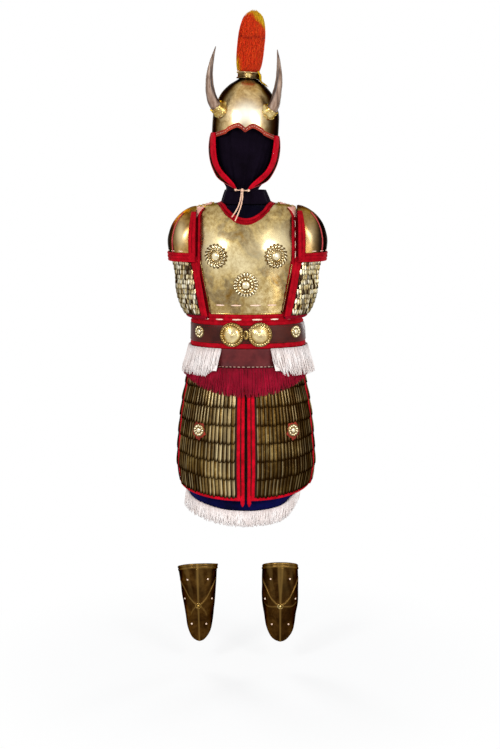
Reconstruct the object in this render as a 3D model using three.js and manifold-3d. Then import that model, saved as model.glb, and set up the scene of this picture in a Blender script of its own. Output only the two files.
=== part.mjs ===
// A bronze-age suit of armour on its cloth display form, in millimetres.
// The frame: +Z up, the front faces -Y, and the origin is in the middle of the waist at the belt.
// Horned helmet with cheek guards and plume, laced breastplate and backplate on a felt vest,
// shoulder guards with scale arm guards, clasped belt with fringes, split scale skirt and two greaves.
import * as THREE from "three";
import { mergeVertices } from "three/addons/utils/BufferGeometryUtils.js";
import Module from "manifold-3d";

const wasm = await Module();
wasm.setup();

// Sizes of the whole
const gap = 0.4; // between pieces that lie face to face
const overrun = 20; // how far a cutter reaches past what it cuts
const shoulderHeight = 386; // neck ring above the belt
const waistWidth = 326; // the wearer's, side to side at the belt
const waistFront = 117; // waist depth in front of the origin
const waistBack = 104; // waist depth behind it
const hemDrop = 540; // tunic's edge below the belt
const hemWidth = 366;
const hemFront = 128;
const hemBack = 118;

// Cloth and felt
const tunicThick = 3;
const feltThick = 2.6;
const plateThick = 2;
const hemFringe = 46;
const hemFringeThick = 4;
const hemRise = 36; // how much higher the hem is at the sides and back
const neckClothRise = 42; // above the neck ring
const neckClothHalf = 58;
const neckClothDeep = 45;

// Breastplate, backplate and vest
const plateBottom = 61;
const vestBottom = 36;
const plateTopHalf = 137; // half-width of the plates at the shoulder
const plateChestHalf = 145;
const plateChestHeight = 281;
const plateRibHalf = 129;
const plateRibHeight = 191;
const plateWaistHalf = 106;
const armholeHeight = 285;
const armholeHalfDepth = 44;
const armholeHalfHeight = 84;
const neckHalfWidth = 76;
const neckFront = 98;
const neckBack = 56;
const collarRadius = 6;
const chestSwell = 7;
const chestSwellHeight = 262;
const chestSwellSide = 62;
const chestSwellWide = 46;
const chestSwellTall = 56;

// Rosettes, seated on what they are sewn to
const chestRosetteRadius = 36;
const lowRosetteRadius = 39;
const chestRosetteRise = 9;
const chestRosetteSide = 87;
const chestRosetteHeight = 235;
const lowRosetteHeight = 150;
const smallRosetteRadius = 19;
const smallRosetteRise = 5;

// Belt
const beltTop = 27;
const beltBottom = 27;
const feltTop = 35.4;
const feltBottom = 43;
const beltFeltThick = 3;
const beltRollThick = 7;
const beltLeatherThick = 3.2;
const discRadius = 37;
const discRise = 15;
const discRimRise = 6;
const discSide = 41;
const claspWidth = 13;
const claspHeight = 29;
const claspThick = 2.4;
const claspSlotWidth = 4.6;
const claspSlotHeight = 16;
const beltRosetteSide = 136;
const beltRosetteHeight = 4;

// Waistband under the belt, and its two aprons of white fringe
const waistbandTop = 44;
const waistbandBottom = 101;
const waistbandThick = 3.2;
const apronDrop = 72;
const apronThick = 3;
const apronFlare = 28;
const apronInnerTurn = 24; // degrees from the front
const apronOuterTurn = 150;
const apronRibTurn = 10; // degrees from rib to rib

// Skirt of scales
const skirtTop = 101.8;
const skirtFrontBottom = 502;
const skirtSideRise = 34;
const skirtSideEase = 5; // how far the skirt's top stands out past the waist
const skirtFrontEase = 4;
const skirtBackEase = 5;
const skirtSideFlare = 26; // how far its widest part stands out past the tunic's hem
const skirtFrontFlare = 23;
const skirtBackFlare = 21;
const skirtSlit = 3;
const skirtSideTurn = 77; // degrees at which the front panels end
const skirtLeather = 2.4;
const skirtBinding = 9; // binding on the bottom and the sides
const centreBinding = 19; // binding on the two front edges
const bindingThick = 7;
const scaleThick = 1.8;
const scaleLap = 2.4;
const skirtRows = 7;
const skirtScales = 12;
const scaleStart = 110;
const tasselFront = 186; // the maroon fringe over the skirt's top
const tasselSide = 132;
const tasselThick = 2.6;
const tasselFlare = 5;
const tasselRibTurn = 8;
const skirtRosetteSide = 139;
const skirtRosetteHeight = 296;

// Shoulder guards
const guardInset = 13; // how far the guards reach in past the waist's half-width
const guardReach = 88;
const guardHalfDepth = 93;
const guardPlateBottom = 239;
const guardBottom = 216;
const guardTop = 379;
const guardFelt = 2.8;
const guardFrontBand = 17; // degrees of the guard that the upright bands cover

// Scale arm guards
const armTop = 232;
const armBottom = 47;
const armSpread = 49; // how far the arm guards stand out past the waist
const armFront = 131;
const armBack = 125;
const armTopInset = 3; // how far the front edge lies inside the guards at the top
const armBottomInset = 36;
const armLeather = 2.4;
const armBinding = 11;
const armBindingThick = 5.4;
const armScaleThick = 1.4;
const armScaleLap = 1.4;
const armRows = 5;
const armScales = 7;

// Shoulder tabs
const tabInner = 96;
const tabThick = 2.6;
const tabFront = 36;
const tabBack = 14;

// Display head, and how far the whole head leans to its right. Its heights, and those of all that it
// carries, are above the neck ring.
const headTilt = 3;
const headTiltHeight = 254;
const headCrown = 326;
const headHalf = 86;
const headFront = 92;
const headBack = 88;
const headWall = 5;

// Helmet
const helmetTop = 371;
const helmetBack = 188;
const helmetSide = 208;
const helmetHalf = 100;
const helmetFront = 113;
const helmetRear = 116;
const helmetWall = 2;
const browCusp = 225;
const browArch = 238;
const browArchSide = 27;
const browFoot = 226;
const browFootSide = 51;
const browStep = 219;
const browStepSide = 58;
const browEndSide = 87;
const browTurn = 58; // degrees that the brow trim covers to each side
const browTrim = 12;
const browTrimThick = 3.2;
const linerBottom = 250;
const linerTop = 282;

// Horns
const hornSpan = 186; // rise of the tip above the root
const hornRootSide = 71;
const hornRootFront = 74;
const hornRootHeight = 270;
const hornRadius = 18;
const hornFlatShare = 0.8;
const hornSocketWall = 2.2;
const hornSocketShare = 0.2;
const hornSocketFlare = 5;

// Plume and its socket
const socketRadius = 35;
const socketBore = 17;
const socketHeight = 20;
const socketWall = 3;
const stemRadius = 16;
const stemDrop = 16;
const plumeRise = 181;
const plumeHalf = 40;
const plumeDeep = 30;
const plumeLean = 8;
const plumeLocks = 9;

// Cheek guards
const cheekTop = 207.4;
const cheekTip = 47;
const cheekHalf = 107;
const cheekDepth = 112;
const cheekWall = 2;
const cheekFelt = 2.6;

// Chin tie
const toggleRadius = 4;
const thongRadius = 2;
const knotRadius = 6;
const thongWidth = 3.8;
const thongThick = 1.8;

// Greaves
const greaveTop = 737;
const greaveHeight = 238;
const greaveHalf = 61;
const greaveDepth = 57;
const greaveWall = 2.2;
const greaveWrap = 104; // degrees to each side
const greaveLeft = 152;
const greaveRight = 108;
const greaveRim = 17; // height of the double roll along the top
const greaveRimRise = 3.6;
const greaveFoot = 86; // how far the side edges end above the pointed foot
const ribWidth = 6;
const ribRise = 2.4;
const bossRadius = 6;
const bossRise = 5;

// Colours
const bronze = new THREE.MeshStandardMaterial({ color: 0xb08a3e, roughness: 0.35, metalness: 1 });
const darkBronze = new THREE.MeshStandardMaterial({ color: 0x5c4418, roughness: 0.42, metalness: 1 });
const redFelt = new THREE.MeshStandardMaterial({ color: 0xb3122a, roughness: 0.9, metalness: 0 });
const maroonWool = new THREE.MeshStandardMaterial({ color: 0x850f28, roughness: 0.9, metalness: 0 });
const whiteWool = new THREE.MeshStandardMaterial({ color: 0xe8dcd2, roughness: 0.95, metalness: 0 });
const navyCloth = new THREE.MeshStandardMaterial({ color: 0x101328, roughness: 0.9, metalness: 0 });
const brownLeather = new THREE.MeshStandardMaterial({ color: 0x3a1418, roughness: 0.5, metalness: 0 });
const brickLeather = new THREE.MeshStandardMaterial({ color: 0x8a2d18, roughness: 0.6, metalness: 0 });
const thongLeather = new THREE.MeshStandardMaterial({ color: 0xdfb79c, roughness: 0.7, metalness: 0 });
const hornBone = new THREE.MeshStandardMaterial({ color: 0xa08f84, roughness: 0.5, metalness: 0 });
const plumeRed = new THREE.MeshStandardMaterial({ color: 0xd8380f, roughness: 0.9, metalness: 0 });

// Numbers
const radians = THREE.MathUtils.degToRad;
const lerp = THREE.MathUtils.lerp;
const range = (n) => [...Array(n).keys()];
const spaced = (from, to, steps) => range(steps + 1).map((i) => lerp(from, to, i / steps));
const tangentStep = 1e-3;

// Row of a table at a place between its rows, on a smooth curve through them
function rowAt(rows, place) {
  const last = rows.length - 1;
  const i = Math.min(Math.max(Math.floor(place), 0), last - 1);
  const t = place - i;
  const pick = (k) => rows[Math.min(Math.max(k, 0), last)];
  const [a, b, c, d] = [pick(i - 1), pick(i), pick(i + 1), pick(i + 2)];
  return b.map((value, k) => {
    const inSlope = (c[k] - a[k]) / 2;
    const outSlope = (d[k] - b[k]) / 2;
    const t2 = t * t;
    const t3 = t2 * t;
    const held = value * (2 * t3 - 3 * t2 + 1) + c[k] * (3 * t2 - 2 * t3);
    return held + inSlope * (t3 - 2 * t2 + t) + outSlope * (t3 - t2);
  });
}

// Place in a table at which its first column, which rises, reaches a height
function placeOf(rows, height) {
  let low = 0;
  let high = rows.length - 1;
  for (const _ of range(40)) {
    const middle = (low + high) / 2;
    if (rowAt(rows, middle)[0] < height) low = middle;
    else high = middle;
  }
  return (low + high) / 2;
}

// Outline of a section: an ellipse squared off a little, wider in front than behind where its depths differ
const squareness = 2.2;
function section(turn, half, front, back) {
  const round = (value) => Math.sign(value) * Math.abs(value) ** (2 / squareness);
  const depth = Math.cos(turn) > 0 ? front : back;
  return [half * round(Math.sin(turn)), -depth * round(Math.cos(turn))];
}

// Solids
function closedGeometry(points, faces) {
  const geometry = new THREE.BufferGeometry();
  const places = points.flatMap((p) => [p.x, p.y, p.z]);
  geometry.setAttribute("position", new THREE.Float32BufferAttribute(places, 3));
  geometry.setIndex(faces.flat());
  return geometry;
}

function solid(geometry) {
  const bare = geometry.clone();
  bare.deleteAttribute("normal");
  bare.deleteAttribute("uv");
  const merged = mergeVertices(bare, 1e-3);
  return new wasm.Manifold(
    new wasm.Mesh({
      numProp: 3,
      vertProperties: new Float32Array(merged.attributes.position.array),
      triVerts: new Uint32Array(merged.index.array),
    }),
  );
}

function geometryOf(made) {
  const mesh = made.getMesh();
  const geometry = new THREE.BufferGeometry();
  const places = new Float32Array(mesh.numVert * 3);
  for (let i = 0; i < mesh.numVert; i++) {
    places.set(mesh.vertProperties.subarray(i * mesh.numProp, i * mesh.numProp + 3), i * 3);
  }
  geometry.setAttribute("position", new THREE.BufferAttribute(places, 3));
  geometry.setIndex(new THREE.BufferAttribute(mesh.triVerts, 1));
  return geometry;
}

// The largest body of a cut, where a cutter leaves slivers
function mainBody(made) {
  return made.decompose().reduce((best, body) => (body.volume() > best.volume() ? body : best));
}

function mirrored(geometry) {
  const flipped = geometry.clone().scale(-1, 1, 1);
  const index = flipped.index.array;
  for (let i = 0; i < index.length; i += 3) [index[i + 1], index[i + 2]] = [index[i + 2], index[i + 1]];
  return flipped;
}

// A point of a surface, moved out along the surface's own normal
function lifted(surface, u, v, lift) {
  const along = surface(u + tangentStep, v).sub(surface(u - tangentStep, v));
  const up = surface(u, v + tangentStep).sub(surface(u, v - tangentStep));
  return surface(u, v).addScaledVector(along.cross(up).normalize(), lift);
}

// A skin between two lifts of a surface, over a grid of us and vs.
// A lift is a number or a function of column and row.
// The back of the skin can leave out columns and rows that only its front needs.
function skin(surface, us, vs, low, high, wraps = false, keptColumns = null, keptRows = null) {
  const backColumns = keptColumns ?? range(us.length);
  const backRows = keptRows ?? range(vs.length);
  const liftAt = (lift, i, j) => (typeof lift === "function" ? lift(i, j) : lift);
  const columns = us.length;
  const rows = vs.length;
  const behind = backColumns.length;
  const points = [];
  vs.forEach((v, j) => us.forEach((u, i) => points.push(lifted(surface, u, v, liftAt(high, i, j)))));
  const behindAt = (i, j) => lifted(surface, us[i], vs[j], liftAt(low, i, j));
  backRows.forEach((j) => backColumns.forEach((i) => points.push(behindAt(i, j))));
  const front = (i, j) => j * columns + (i % columns);
  const back = (a, b) => rows * columns + b * behind + (a % behind);
  const lastBack = backRows.length - 1;
  const faces = [];
  const quad = (a, b, c, d) => faces.push([a, b, c], [a, c, d]);
  const span = (from, to, step) => range(to - from).forEach((k) => step(from + k));
  span(0, rows - 1, (j) => {
    const cell = (i) => quad(front(i, j), front(i + 1, j), front(i + 1, j + 1), front(i, j + 1));
    span(0, wraps ? columns : columns - 1, cell);
  });
  span(0, lastBack, (b) => {
    const cell = (a) => quad(back(a, b), back(a, b + 1), back(a + 1, b + 1), back(a + 1, b));
    span(0, wraps ? behind : behind - 1, cell);
  });
  span(0, wraps ? behind : behind - 1, (a) => {
    const [from, to] = [backColumns[a], a + 1 < behind ? backColumns[a + 1] : columns];
    faces.push([back(a, 0), back(a + 1, 0), front(to, 0)]);
    faces.push([front(from, rows - 1), back(a + 1, lastBack), back(a, lastBack)]);
    span(from, to, (i) => {
      faces.push([back(a, 0), front(i + 1, 0), front(i, 0)]);
      faces.push([front(i, rows - 1), front(i + 1, rows - 1), back(a + 1, lastBack)]);
    });
  });
  if (!wraps) {
    span(0, lastBack, (b) => {
      const [from, to] = [backRows[b], backRows[b + 1]];
      faces.push([back(0, b), front(0, to), back(0, b + 1)]);
      faces.push([back(behind - 1, b), back(behind - 1, b + 1), front(columns - 1, to)]);
      span(from, to, (j) => {
        faces.push([back(0, b), front(0, j), front(0, j + 1)]);
        faces.push([back(behind - 1, b), front(columns - 1, j + 1), front(columns - 1, j)]);
      });
    });
  }
  return closedGeometry(points, faces);
}

// Rings of points joined into one closed body with a flat fan at each end
function loft(rings) {
  const sides = rings[0].length;
  const points = rings.flat();
  const faces = [];
  for (let j = 0; j < rings.length - 1; j++) {
    for (let i = 0; i < sides; i++) {
      const next = (i + 1) % sides;
      const [a, b] = [j * sides + i, j * sides + next];
      faces.push([a, b, b + sides], [a, b + sides, a + sides]);
    }
  }
  const middle = (ring) => ring.reduce((sum, p) => sum.add(p), new THREE.Vector3()).divideScalar(sides);
  const [bottom, top] = [points.length, points.length + 1];
  points.push(middle(rings[0]), middle(rings[rings.length - 1]));
  const lastRing = (rings.length - 1) * sides;
  for (let i = 0; i < sides; i++) {
    const next = (i + 1) % sides;
    faces.push([bottom, next, i], [top, lastRing + i, lastRing + next]);
  }
  return closedGeometry(points, faces);
}

// A skin between two stacks of rings that wrap round
function ringSkin(outer, inner) {
  const sides = outer[0].length;
  const rows = outer.length;
  const points = [...outer.flat(), ...inner.flat()];
  const at = (side, i, j) => side * sides * rows + j * sides + (i % sides);
  const faces = [];
  const quad = (a, b, c, d) => faces.push([a, b, c], [a, c, d]);
  for (let i = 0; i < sides; i++) {
    for (let j = 0; j < rows - 1; j++) {
      quad(at(0, i, j), at(0, i + 1, j), at(0, i + 1, j + 1), at(0, i, j + 1));
      quad(at(1, i, j), at(1, i, j + 1), at(1, i + 1, j + 1), at(1, i + 1, j));
    }
    quad(at(1, i, 0), at(1, i + 1, 0), at(0, i + 1, 0), at(0, i, 0));
    quad(at(0, i, rows - 1), at(0, i + 1, rows - 1), at(1, i + 1, rows - 1), at(1, i, rows - 1));
  }
  return closedGeometry(points, faces);
}

// Rings of points joined into a closed loop
function ringTorus(rings) {
  const sides = rings[0].length;
  const count = rings.length * sides;
  const faces = [];
  rings.forEach((_, j) => {
    for (let i = 0; i < sides; i++) {
      const next = (i + 1) % sides;
      const [a, b] = [j * sides + i, j * sides + next];
      faces.push([a, b, (b + sides) % count], [a, (b + sides) % count, (a + sides) % count]);
    }
  });
  return closedGeometry(rings.flat(), faces);
}

// The body inside a surface that wraps round, from its first level to its last
function filled(surface, us, vs, lift) {
  return loft(vs.map((v) => us.map((u) => lifted(surface, u, v, lift))));
}

// Prisms of an outline: drawn from the front as x and z, from the side as y and z, or from above as x and y
function outline(points) {
  return new THREE.Shape(points.map(([a, b]) => new THREE.Vector2(a, b)));
}

function frontPrism(points, from, to) {
  const geometry = new THREE.ExtrudeGeometry(outline(points), { depth: to - from, bevelEnabled: false });
  return geometry.rotateX(Math.PI / 2).translate(0, to, 0);
}

function sidePrism(points, from, to) {
  const geometry = new THREE.ExtrudeGeometry(outline(points), { depth: to - from, bevelEnabled: false });
  const turn = new THREE.Matrix4().makeBasis(
    new THREE.Vector3(0, 1, 0),
    new THREE.Vector3(0, 0, 1),
    new THREE.Vector3(1, 0, 0),
  );
  return geometry.applyMatrix4(turn).translate(from, 0, 0);
}

function planPrism(points, from, to) {
  const geometry = new THREE.ExtrudeGeometry(outline(points), { depth: to - from, bevelEnabled: false });
  return geometry.translate(0, 0, from);
}


const ellipsePoints = (x, y, halfX, halfY, steps) =>
  range(steps).map((i) => {
    const turn = (2 * Math.PI * i) / steps;
    return [x + halfX * Math.cos(turn), y + halfY * Math.sin(turn)];
  });

// A smooth line through points in a plane
function smoothLine(points, steps) {
  const curve = new THREE.SplineCurve(points.map(([a, b]) => new THREE.Vector2(a, b)));
  return curve.getPoints(steps).map((p) => [p.x, p.y]);
}

const group = new THREE.Group();

function add(name, made, material) {
  const geometry = made.isBufferGeometry ? made : geometryOf(made);
  const mesh = new THREE.Mesh(geometry, material);
  mesh.name = name;
  group.add(mesh);
  return mesh;
}

function addPair(name, made, material) {
  const geometry = made.isBufferGeometry ? geometryOf(solid(made)) : geometryOf(made);
  add(name + "_left", mirrored(geometry), material);
  add(name + "_right", geometry, material);
}

// The wearer's body from the belt up: height, half-width and depths, as shares of the shoulder's height
// and the waist's sizes
const upperBodyShares = [
  [0, 1, 1, 1],
  [0.337, 1.02, 1.04, 1.04],
  [0.518, 1.036, 1.075, 1.08],
  [0.674, 1.03, 1.065, 1.08],
  [0.803, 0.995, 0.96, 1.03],
  [0.894, 0.935, 0.8, 0.92],
  [0.948, 0.88, 0.665, 0.77],
  [0.98, 0.77, 0.57, 0.64],
  [1, 0.36, 0.4, 0.42],
];
// Below the belt: depths as shares of the hem's, and shares of the way from the waist's sizes to the hem's
const lowerBodyShares = [
  [1.14, 1],
  [0.86, 0.98],
  [0.46, 0.52],
];
const bodyRows = [
  ...lowerBodyShares.map(([down, grown]) => [
    -down * hemDrop,
    lerp(waistWidth, hemWidth, grown) / 2,
    lerp(waistFront, hemFront, grown),
    lerp(waistBack, hemBack, grown),
  ]),
  ...upperBodyShares.map(([up, wide, front, back]) => [
    up * shoulderHeight,
    (wide * waistWidth) / 2,
    front * waistFront,
    back * waistBack,
  ]),
];
const waistPlace = lowerBodyShares.length;
const topPlace = bodyRows.length - 1;
const around = (steps) => range(steps).map((i) => (2 * Math.PI * i) / steps);
const bodyTurns = around(20);

function body(turn, place) {
  const [height, half, front, back] = rowAt(bodyRows, place);
  const [x, y] = section(turn, half, front, back);
  const swell =
    chestSwell *
    Math.max(Math.cos(turn), 0) *
    Math.exp(-(((Math.abs(x) - chestSwellSide) / chestSwellWide) ** 2)) *
    Math.exp(-(((height - chestSwellHeight) / chestSwellTall) ** 2));
  return new THREE.Vector3(x, y - swell, height);
}

const bodyPlace = (height) => placeOf(bodyRows, height);
const bodyAt = (turn, height) => body(turn, bodyPlace(height));

// Places in the body's table from one height up to another
function levels(from, to) {
  const within = (height) => height > from + gap && height < to - gap;
  const inside = range(bodyRows.length).filter((i) => within(bodyRows[i][0]));
  return [bodyPlace(from), ...inside, to >= shoulderHeight ? topPlace : bodyPlace(to)];
}

const chestPlaces = levels(vestBottom, shoulderHeight);

// Height of the shoulders over a place in plan, and the turn round the body there
function shoulderPlace(x, y) {
  let low = waistPlace;
  let high = topPlace;
  for (const _ of range(40)) {
    const middle = (low + high) / 2;
    const [, half, front, back] = rowAt(bodyRows, middle);
    const reach = (Math.abs(x) / half) ** squareness + (Math.abs(y) / (y < 0 ? front : back)) ** squareness;
    if (reach < 1) low = middle;
    else high = middle;
  }
  return (low + high) / 2;
}

function turnAt(x, y, place) {
  const [, half, front, back] = rowAt(bodyRows, place);
  const s = Math.sign(x) * (Math.abs(x) / half) ** (squareness / 2);
  const c = -Math.sign(y) * (Math.abs(y) / (y < 0 ? front : back)) ** (squareness / 2);
  return Math.atan2(s, c);
}

// Turn at which a section reaches a distance to the side
const turnOfSide = (side, half) =>
  Math.sign(side) * Math.asin(Math.min(Math.abs(side) / half, 1) ** (squareness / 2));

// Tunic, vest and plates

const hemHeight = (turn) => -hemDrop + hemRise * (1 - Math.max(Math.cos(turn), 0) ** 1.5);
const vestLow = gap;
const vestHigh = vestLow + feltThick;
const plateLow = vestHigh + gap;
const plateHigh = plateLow + plateThick;
const neckDepth = (neckFront + neckBack) / 2;
const neckMiddle = (neckBack - neckFront) / 2;

function armholes() {
  const shape = ellipsePoints(0, armholeHeight, armholeHalfDepth, armholeHalfHeight, 10);
  return solid(sidePrism(shape, -waistWidth, waistWidth));
}

function makeTunic() {
  const seams = [-waistbandBottom, vestBottom].map(bodyPlace);
  const places = [-1, ...[...levels(-hemDrop * 0.86, shoulderHeight), ...seams].sort((a, b) => a - b)];
  const rings = (lift) =>
    places.map((place) =>
      bodyTurns.map((turn) => lifted(body, turn, place < 0 ? bodyPlace(hemHeight(turn)) : place, lift)),
    );
  return solid(ringSkin(rings(0), rings(-tunicThick))).subtract(armholes());
}

function makeHemFringe() {
  const turns = around(36);
  const middle = -tunicThick / 2;
  const ring = (drop, side) =>
    turns.map((turn, i) => {
      const fold = i % 2 || drop < hemFringe ? 0 : side * hemFringeThick;
      const lift = middle + (side * hemFringeThick) / 2 + fold / 2;
      return lifted(body, turn, bodyPlace(hemHeight(turn) - drop), lift);
    });
  return ringSkin(
    [hemFringe, gap * 3].map((drop) => ring(drop, 1)),
    [hemFringe, gap * 3].map((drop) => ring(drop, -1)),
  );
}

function makeNeckCloth() {
  const [, half, front, back] = bodyRows[topPlace];
  const base = shoulderHeight + gap;
  const top = shoulderHeight + neckClothRise;
  const rows = [
    [base, half + tunicThick, front + tunicThick, back + tunicThick],
    [lerp(base, top, 0.5), lerp(half, neckClothHalf, 0.8), neckClothDeep, neckClothDeep],
    [top, neckClothHalf, neckClothDeep, neckClothDeep],
  ];
  const rings = (inset) =>
    rows.map(([height, wide, ahead, behind]) =>
      bodyTurns.map((turn) => {
        const [x, y] = section(turn, wide - inset, ahead - inset, behind - inset);
        return new THREE.Vector3(x, y, height);
      }),
    );
  return ringSkin(rings(0), rings(tunicThick));
}

const neckCut = (grown) =>
  solid(
    planPrism(
      ellipsePoints(0, neckMiddle, neckHalfWidth + grown, neckDepth + grown, 24),
      plateRibHeight,
      shoulderHeight + overrun,
    ),
  );

// The felt roll round the neck, which is sewn to the vest
function makeNeckRoll(grown = 0) {
  const steps = 24;
  const centres = around(steps).map((turn) => {
    const [x, y] = [neckHalfWidth * Math.sin(turn), neckMiddle - neckDepth * Math.cos(turn)];
    const place = shoulderPlace(x, y);
    const turned = turnAt(x, y, place);
    const at = lifted(body, turned, place, collarRadius + gap);
    return { at, normal: at.clone().sub(body(turned, place)).normalize() };
  });
  const rings = centres.map(({ at, normal }, i) => {
    const along = centres[(i + 1) % steps].at.clone().sub(centres[(i + steps - 1) % steps].at).normalize();
    const across = normal.clone().cross(along).normalize();
    return around(6).map((turn) =>
      at
        .clone()
        .addScaledVector(across, (collarRadius + grown) * Math.cos(turn))
        .addScaledVector(normal, (collarRadius + grown) * Math.sin(turn)),
    );
  });
  return ringTorus(rings);
}

function makeVest() {
  const ring = solid(skin(body, bodyTurns, chestPlaces, vestLow, vestHigh, true));
  return mainBody(ring.subtract(neckCut(0)).subtract(armholes())).add(solid(makeNeckRoll()));
}

function plateOutline() {
  const side = smoothLine(
    [
      [plateWaistHalf, plateBottom],
      [plateRibHalf, plateRibHeight],
      [plateChestHalf, plateChestHeight],
      [plateTopHalf, shoulderHeight],
    ],
    6,
  );
  const right = [...side, [plateTopHalf, shoulderHeight + overrun]];
  return [...right, ...right.map(([x, z]) => [-x, z]).reverse()];
}

function makePlate(front) {
  const middle = front ? 0 : Math.PI;
  const turns = spaced(middle - Math.PI / 2, middle + Math.PI / 2, 10);
  const shell = solid(skin(body, turns, chestPlaces, plateLow, plateHigh));
  const reach = waistFront + overrun * 2;
  const prism = solid(frontPrism(plateOutline(), front ? -reach : gap, front ? -gap : reach));
  const roll = solid(makeNeckRoll(gap));
  return mainBody(shell.intersect(prism).subtract(neckCut(collarRadius * 2 + gap * 3)).subtract(roll));
}

add("tunic", makeTunic(), navyCloth);
add("hem_fringe", makeHemFringe(), whiteWool);
add("neck_cloth", makeNeckCloth(), navyCloth);
add("vest", makeVest(), redFelt);
add("breastplate", makePlate(true), bronze);
add("backplate", makePlate(false), bronze);

// Rosettes and discs: a raised middle, a ring of beads' height and a low rim, as shares of radius and rise
const rosetteShares = [
  [1, 0],
  [1, 0.3],
  [0.74, 0.42],
  [0.6, 0.66],
  [0.48, 0.42],
  [0.36, 0.5],
  [0.22, 0.92],
];
const plainRosetteShares = [
  [1, 0],
  [1, 0.3],
  [0.62, 0.62],
  [0.46, 0.4],
  [0.24, 0.9],
];
const discShares = [
  [1, 0],
  [1, 0.3],
  [0.8, 0.3],
  [0.7, 0.14],
  [0.56, 0.5],
  [0.34, 0.8],
  [0.2, 0.84],
  [0.12, 1],
];

// A turned piece on the front of a surface: its back is cut to what it is seated on
function seated(shares, radius, rise, at, normal, seat, segments) {
  const depth = radius;
  const profile = [[0, -depth / rise], [1, -depth / rise], ...shares, [0, 1]];
  const points = profile.map(([out, up]) => new THREE.Vector2(out * radius, up * rise));
  const turned = new THREE.LatheGeometry(points, segments);
  const turn = new THREE.Quaternion().setFromUnitVectors(new THREE.Vector3(0, 1, 0), normal);
  turned.applyQuaternion(turn).translate(at.x, at.y, at.z);
  return mainBody(solid(turned).subtract(seat));
}

// The point and outward normal of a surface's front at a distance to the side
function frontOf(surface, half, side, v, lift) {
  const turn = turnOfSide(side, half);
  const at = lifted(surface, turn, v, lift);
  return { at, normal: at.clone().sub(surface(turn, v)).normalize() };
}

function bodyRosette(shares, radius, rise, side, height, lift, segments, places = chestPlaces) {
  const place = bodyPlace(height);
  const { at, normal } = frontOf(body, rowAt(bodyRows, place)[1], side, place, lift + gap);
  const seat = solid(filled(body, bodyTurns, places, lift + gap));
  return seated(shares, radius, rise, at, normal, seat, segments);
}

// A piece for each side, made in its own place on a body that both sit on
function addSides(name, make, material) {
  add(name + "_left", make(-1), material);
  add(name + "_right", make(1), material);
}

addSides(
  "chest_rosette",
  (way) =>
    bodyRosette(
      rosetteShares,
      chestRosetteRadius,
      chestRosetteRise,
      way * chestRosetteSide,
      chestRosetteHeight,
      plateHigh,
      12,
    ),
  bronze,
);
add(
  "low_rosette",
  bodyRosette(rosetteShares, lowRosetteRadius, chestRosetteRise, 0, lowRosetteHeight, plateHigh, 12),
  bronze,
);

const guardInner = waistWidth / 2 - guardInset; // half-width of the plane between the two guards

// Tabs of leather that tie the shoulder guards to the breastplate
function makeTab() {
  const outer = guardInner - gap;
  const shape = [
    [tabInner, shoulderHeight - tabThick],
    [outer, guardTop - plateThick - tabThick],
    [outer, guardTop],
    [tabInner, shoulderHeight + plateHigh + tabThick],
  ];
  const seat = solid(filled(body, bodyTurns, chestPlaces, plateHigh + gap));
  return mainBody(solid(frontPrism(shape, -tabFront, tabBack)).subtract(seat));
}

addPair("shoulder_tab", makeTab(), thongLeather);

// Belt: a felt backing with rolled edges, the leather between them, discs and clasp
const beltTurns = bodyTurns;
const feltLow = gap;
const feltHigh = feltLow + beltFeltThick;
const leatherLow = feltHigh + gap;
const leatherHigh = leatherLow + beltLeatherThick;
const discSeat = leatherHigh;
const beltPlaces = [-feltBottom * 1.2, -beltBottom, beltTop, feltTop * 1.3].map(bodyPlace);

function makeBeltFelt() {
  const places = [-feltBottom, -beltBottom - gap, beltTop + gap, feltTop].map(bodyPlace);
  const thick = (_, j) => (j % 3 ? feltHigh : beltRollThick);
  return skin(body, beltTurns, places, feltLow, thick, true);
}

const makeBelt = () =>
  skin(body, beltTurns, [-beltBottom, beltTop].map(bodyPlace), leatherLow, leatherHigh, true);

function makeClasp() {
  const front = bodyAt(0, 0).y - discSeat - discRimRise - gap * 4;
  const [half, tall] = [claspWidth / 2, claspHeight / 2];
  const ring = solid(frontPrism(ellipsePoints(0, 0, half, tall, 20), front - claspThick, front));
  const slot = ellipsePoints(0, 0, claspSlotWidth / 2, claspSlotHeight / 2, 12);
  return ring.subtract(solid(frontPrism(slot, front - claspThick * 2, front + claspThick)));
}

const disc = (way) =>
  bodyRosette(discShares, discRadius, discRise, way * discSide, 0, discSeat, 12, beltPlaces);

add("belt_felt", makeBeltFelt(), redFelt);
add("belt", makeBelt(), brownLeather);
addSides("belt_disc", disc, bronze);
add("clasp", makeClasp(), bronze);
addSides(
  "belt_rosette",
  (way) =>
    bodyRosette(
      plainRosetteShares,
      smallRosetteRadius,
      smallRosetteRise,
      way * beltRosetteSide,
      beltRosetteHeight,
      discSeat,
      10,
      beltPlaces,
    ),
  bronze,
);

// Waistband and the aprons of white fringe that hang over it
const bandHigh = gap + waistbandThick;

function apron(turn, up) {
  const at = bodyAt(turn, -waistbandTop - gap * 5 - (1 - up) * apronDrop);
  const out = new THREE.Vector3(at.x, at.y, 0).normalize();
  return at.addScaledVector(out, apronFlare * (1 - up));
}

function makeApron() {
  const steps = Math.round((apronOuterTurn - apronInnerTurn) / apronRibTurn) * 2;
  const turns = spaced(radians(apronInnerTurn), radians(apronOuterTurn), steps);
  const low = bandHigh + gap;
  const high = (i, j) => low + apronThick * (i % 2 ? 0.6 : 1) + (j < 2 ? 0 : apronThick / 2);
  return skin(apron, turns, [0, 0.5, 1], low, high);
}

const waistbandPlaces = [-waistbandBottom, -waistbandTop].map(bodyPlace);
add("waistband", skin(body, beltTurns, waistbandPlaces, gap, bandHigh, true), brownLeather);
addPair("apron", makeApron(), whiteWool);

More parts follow.
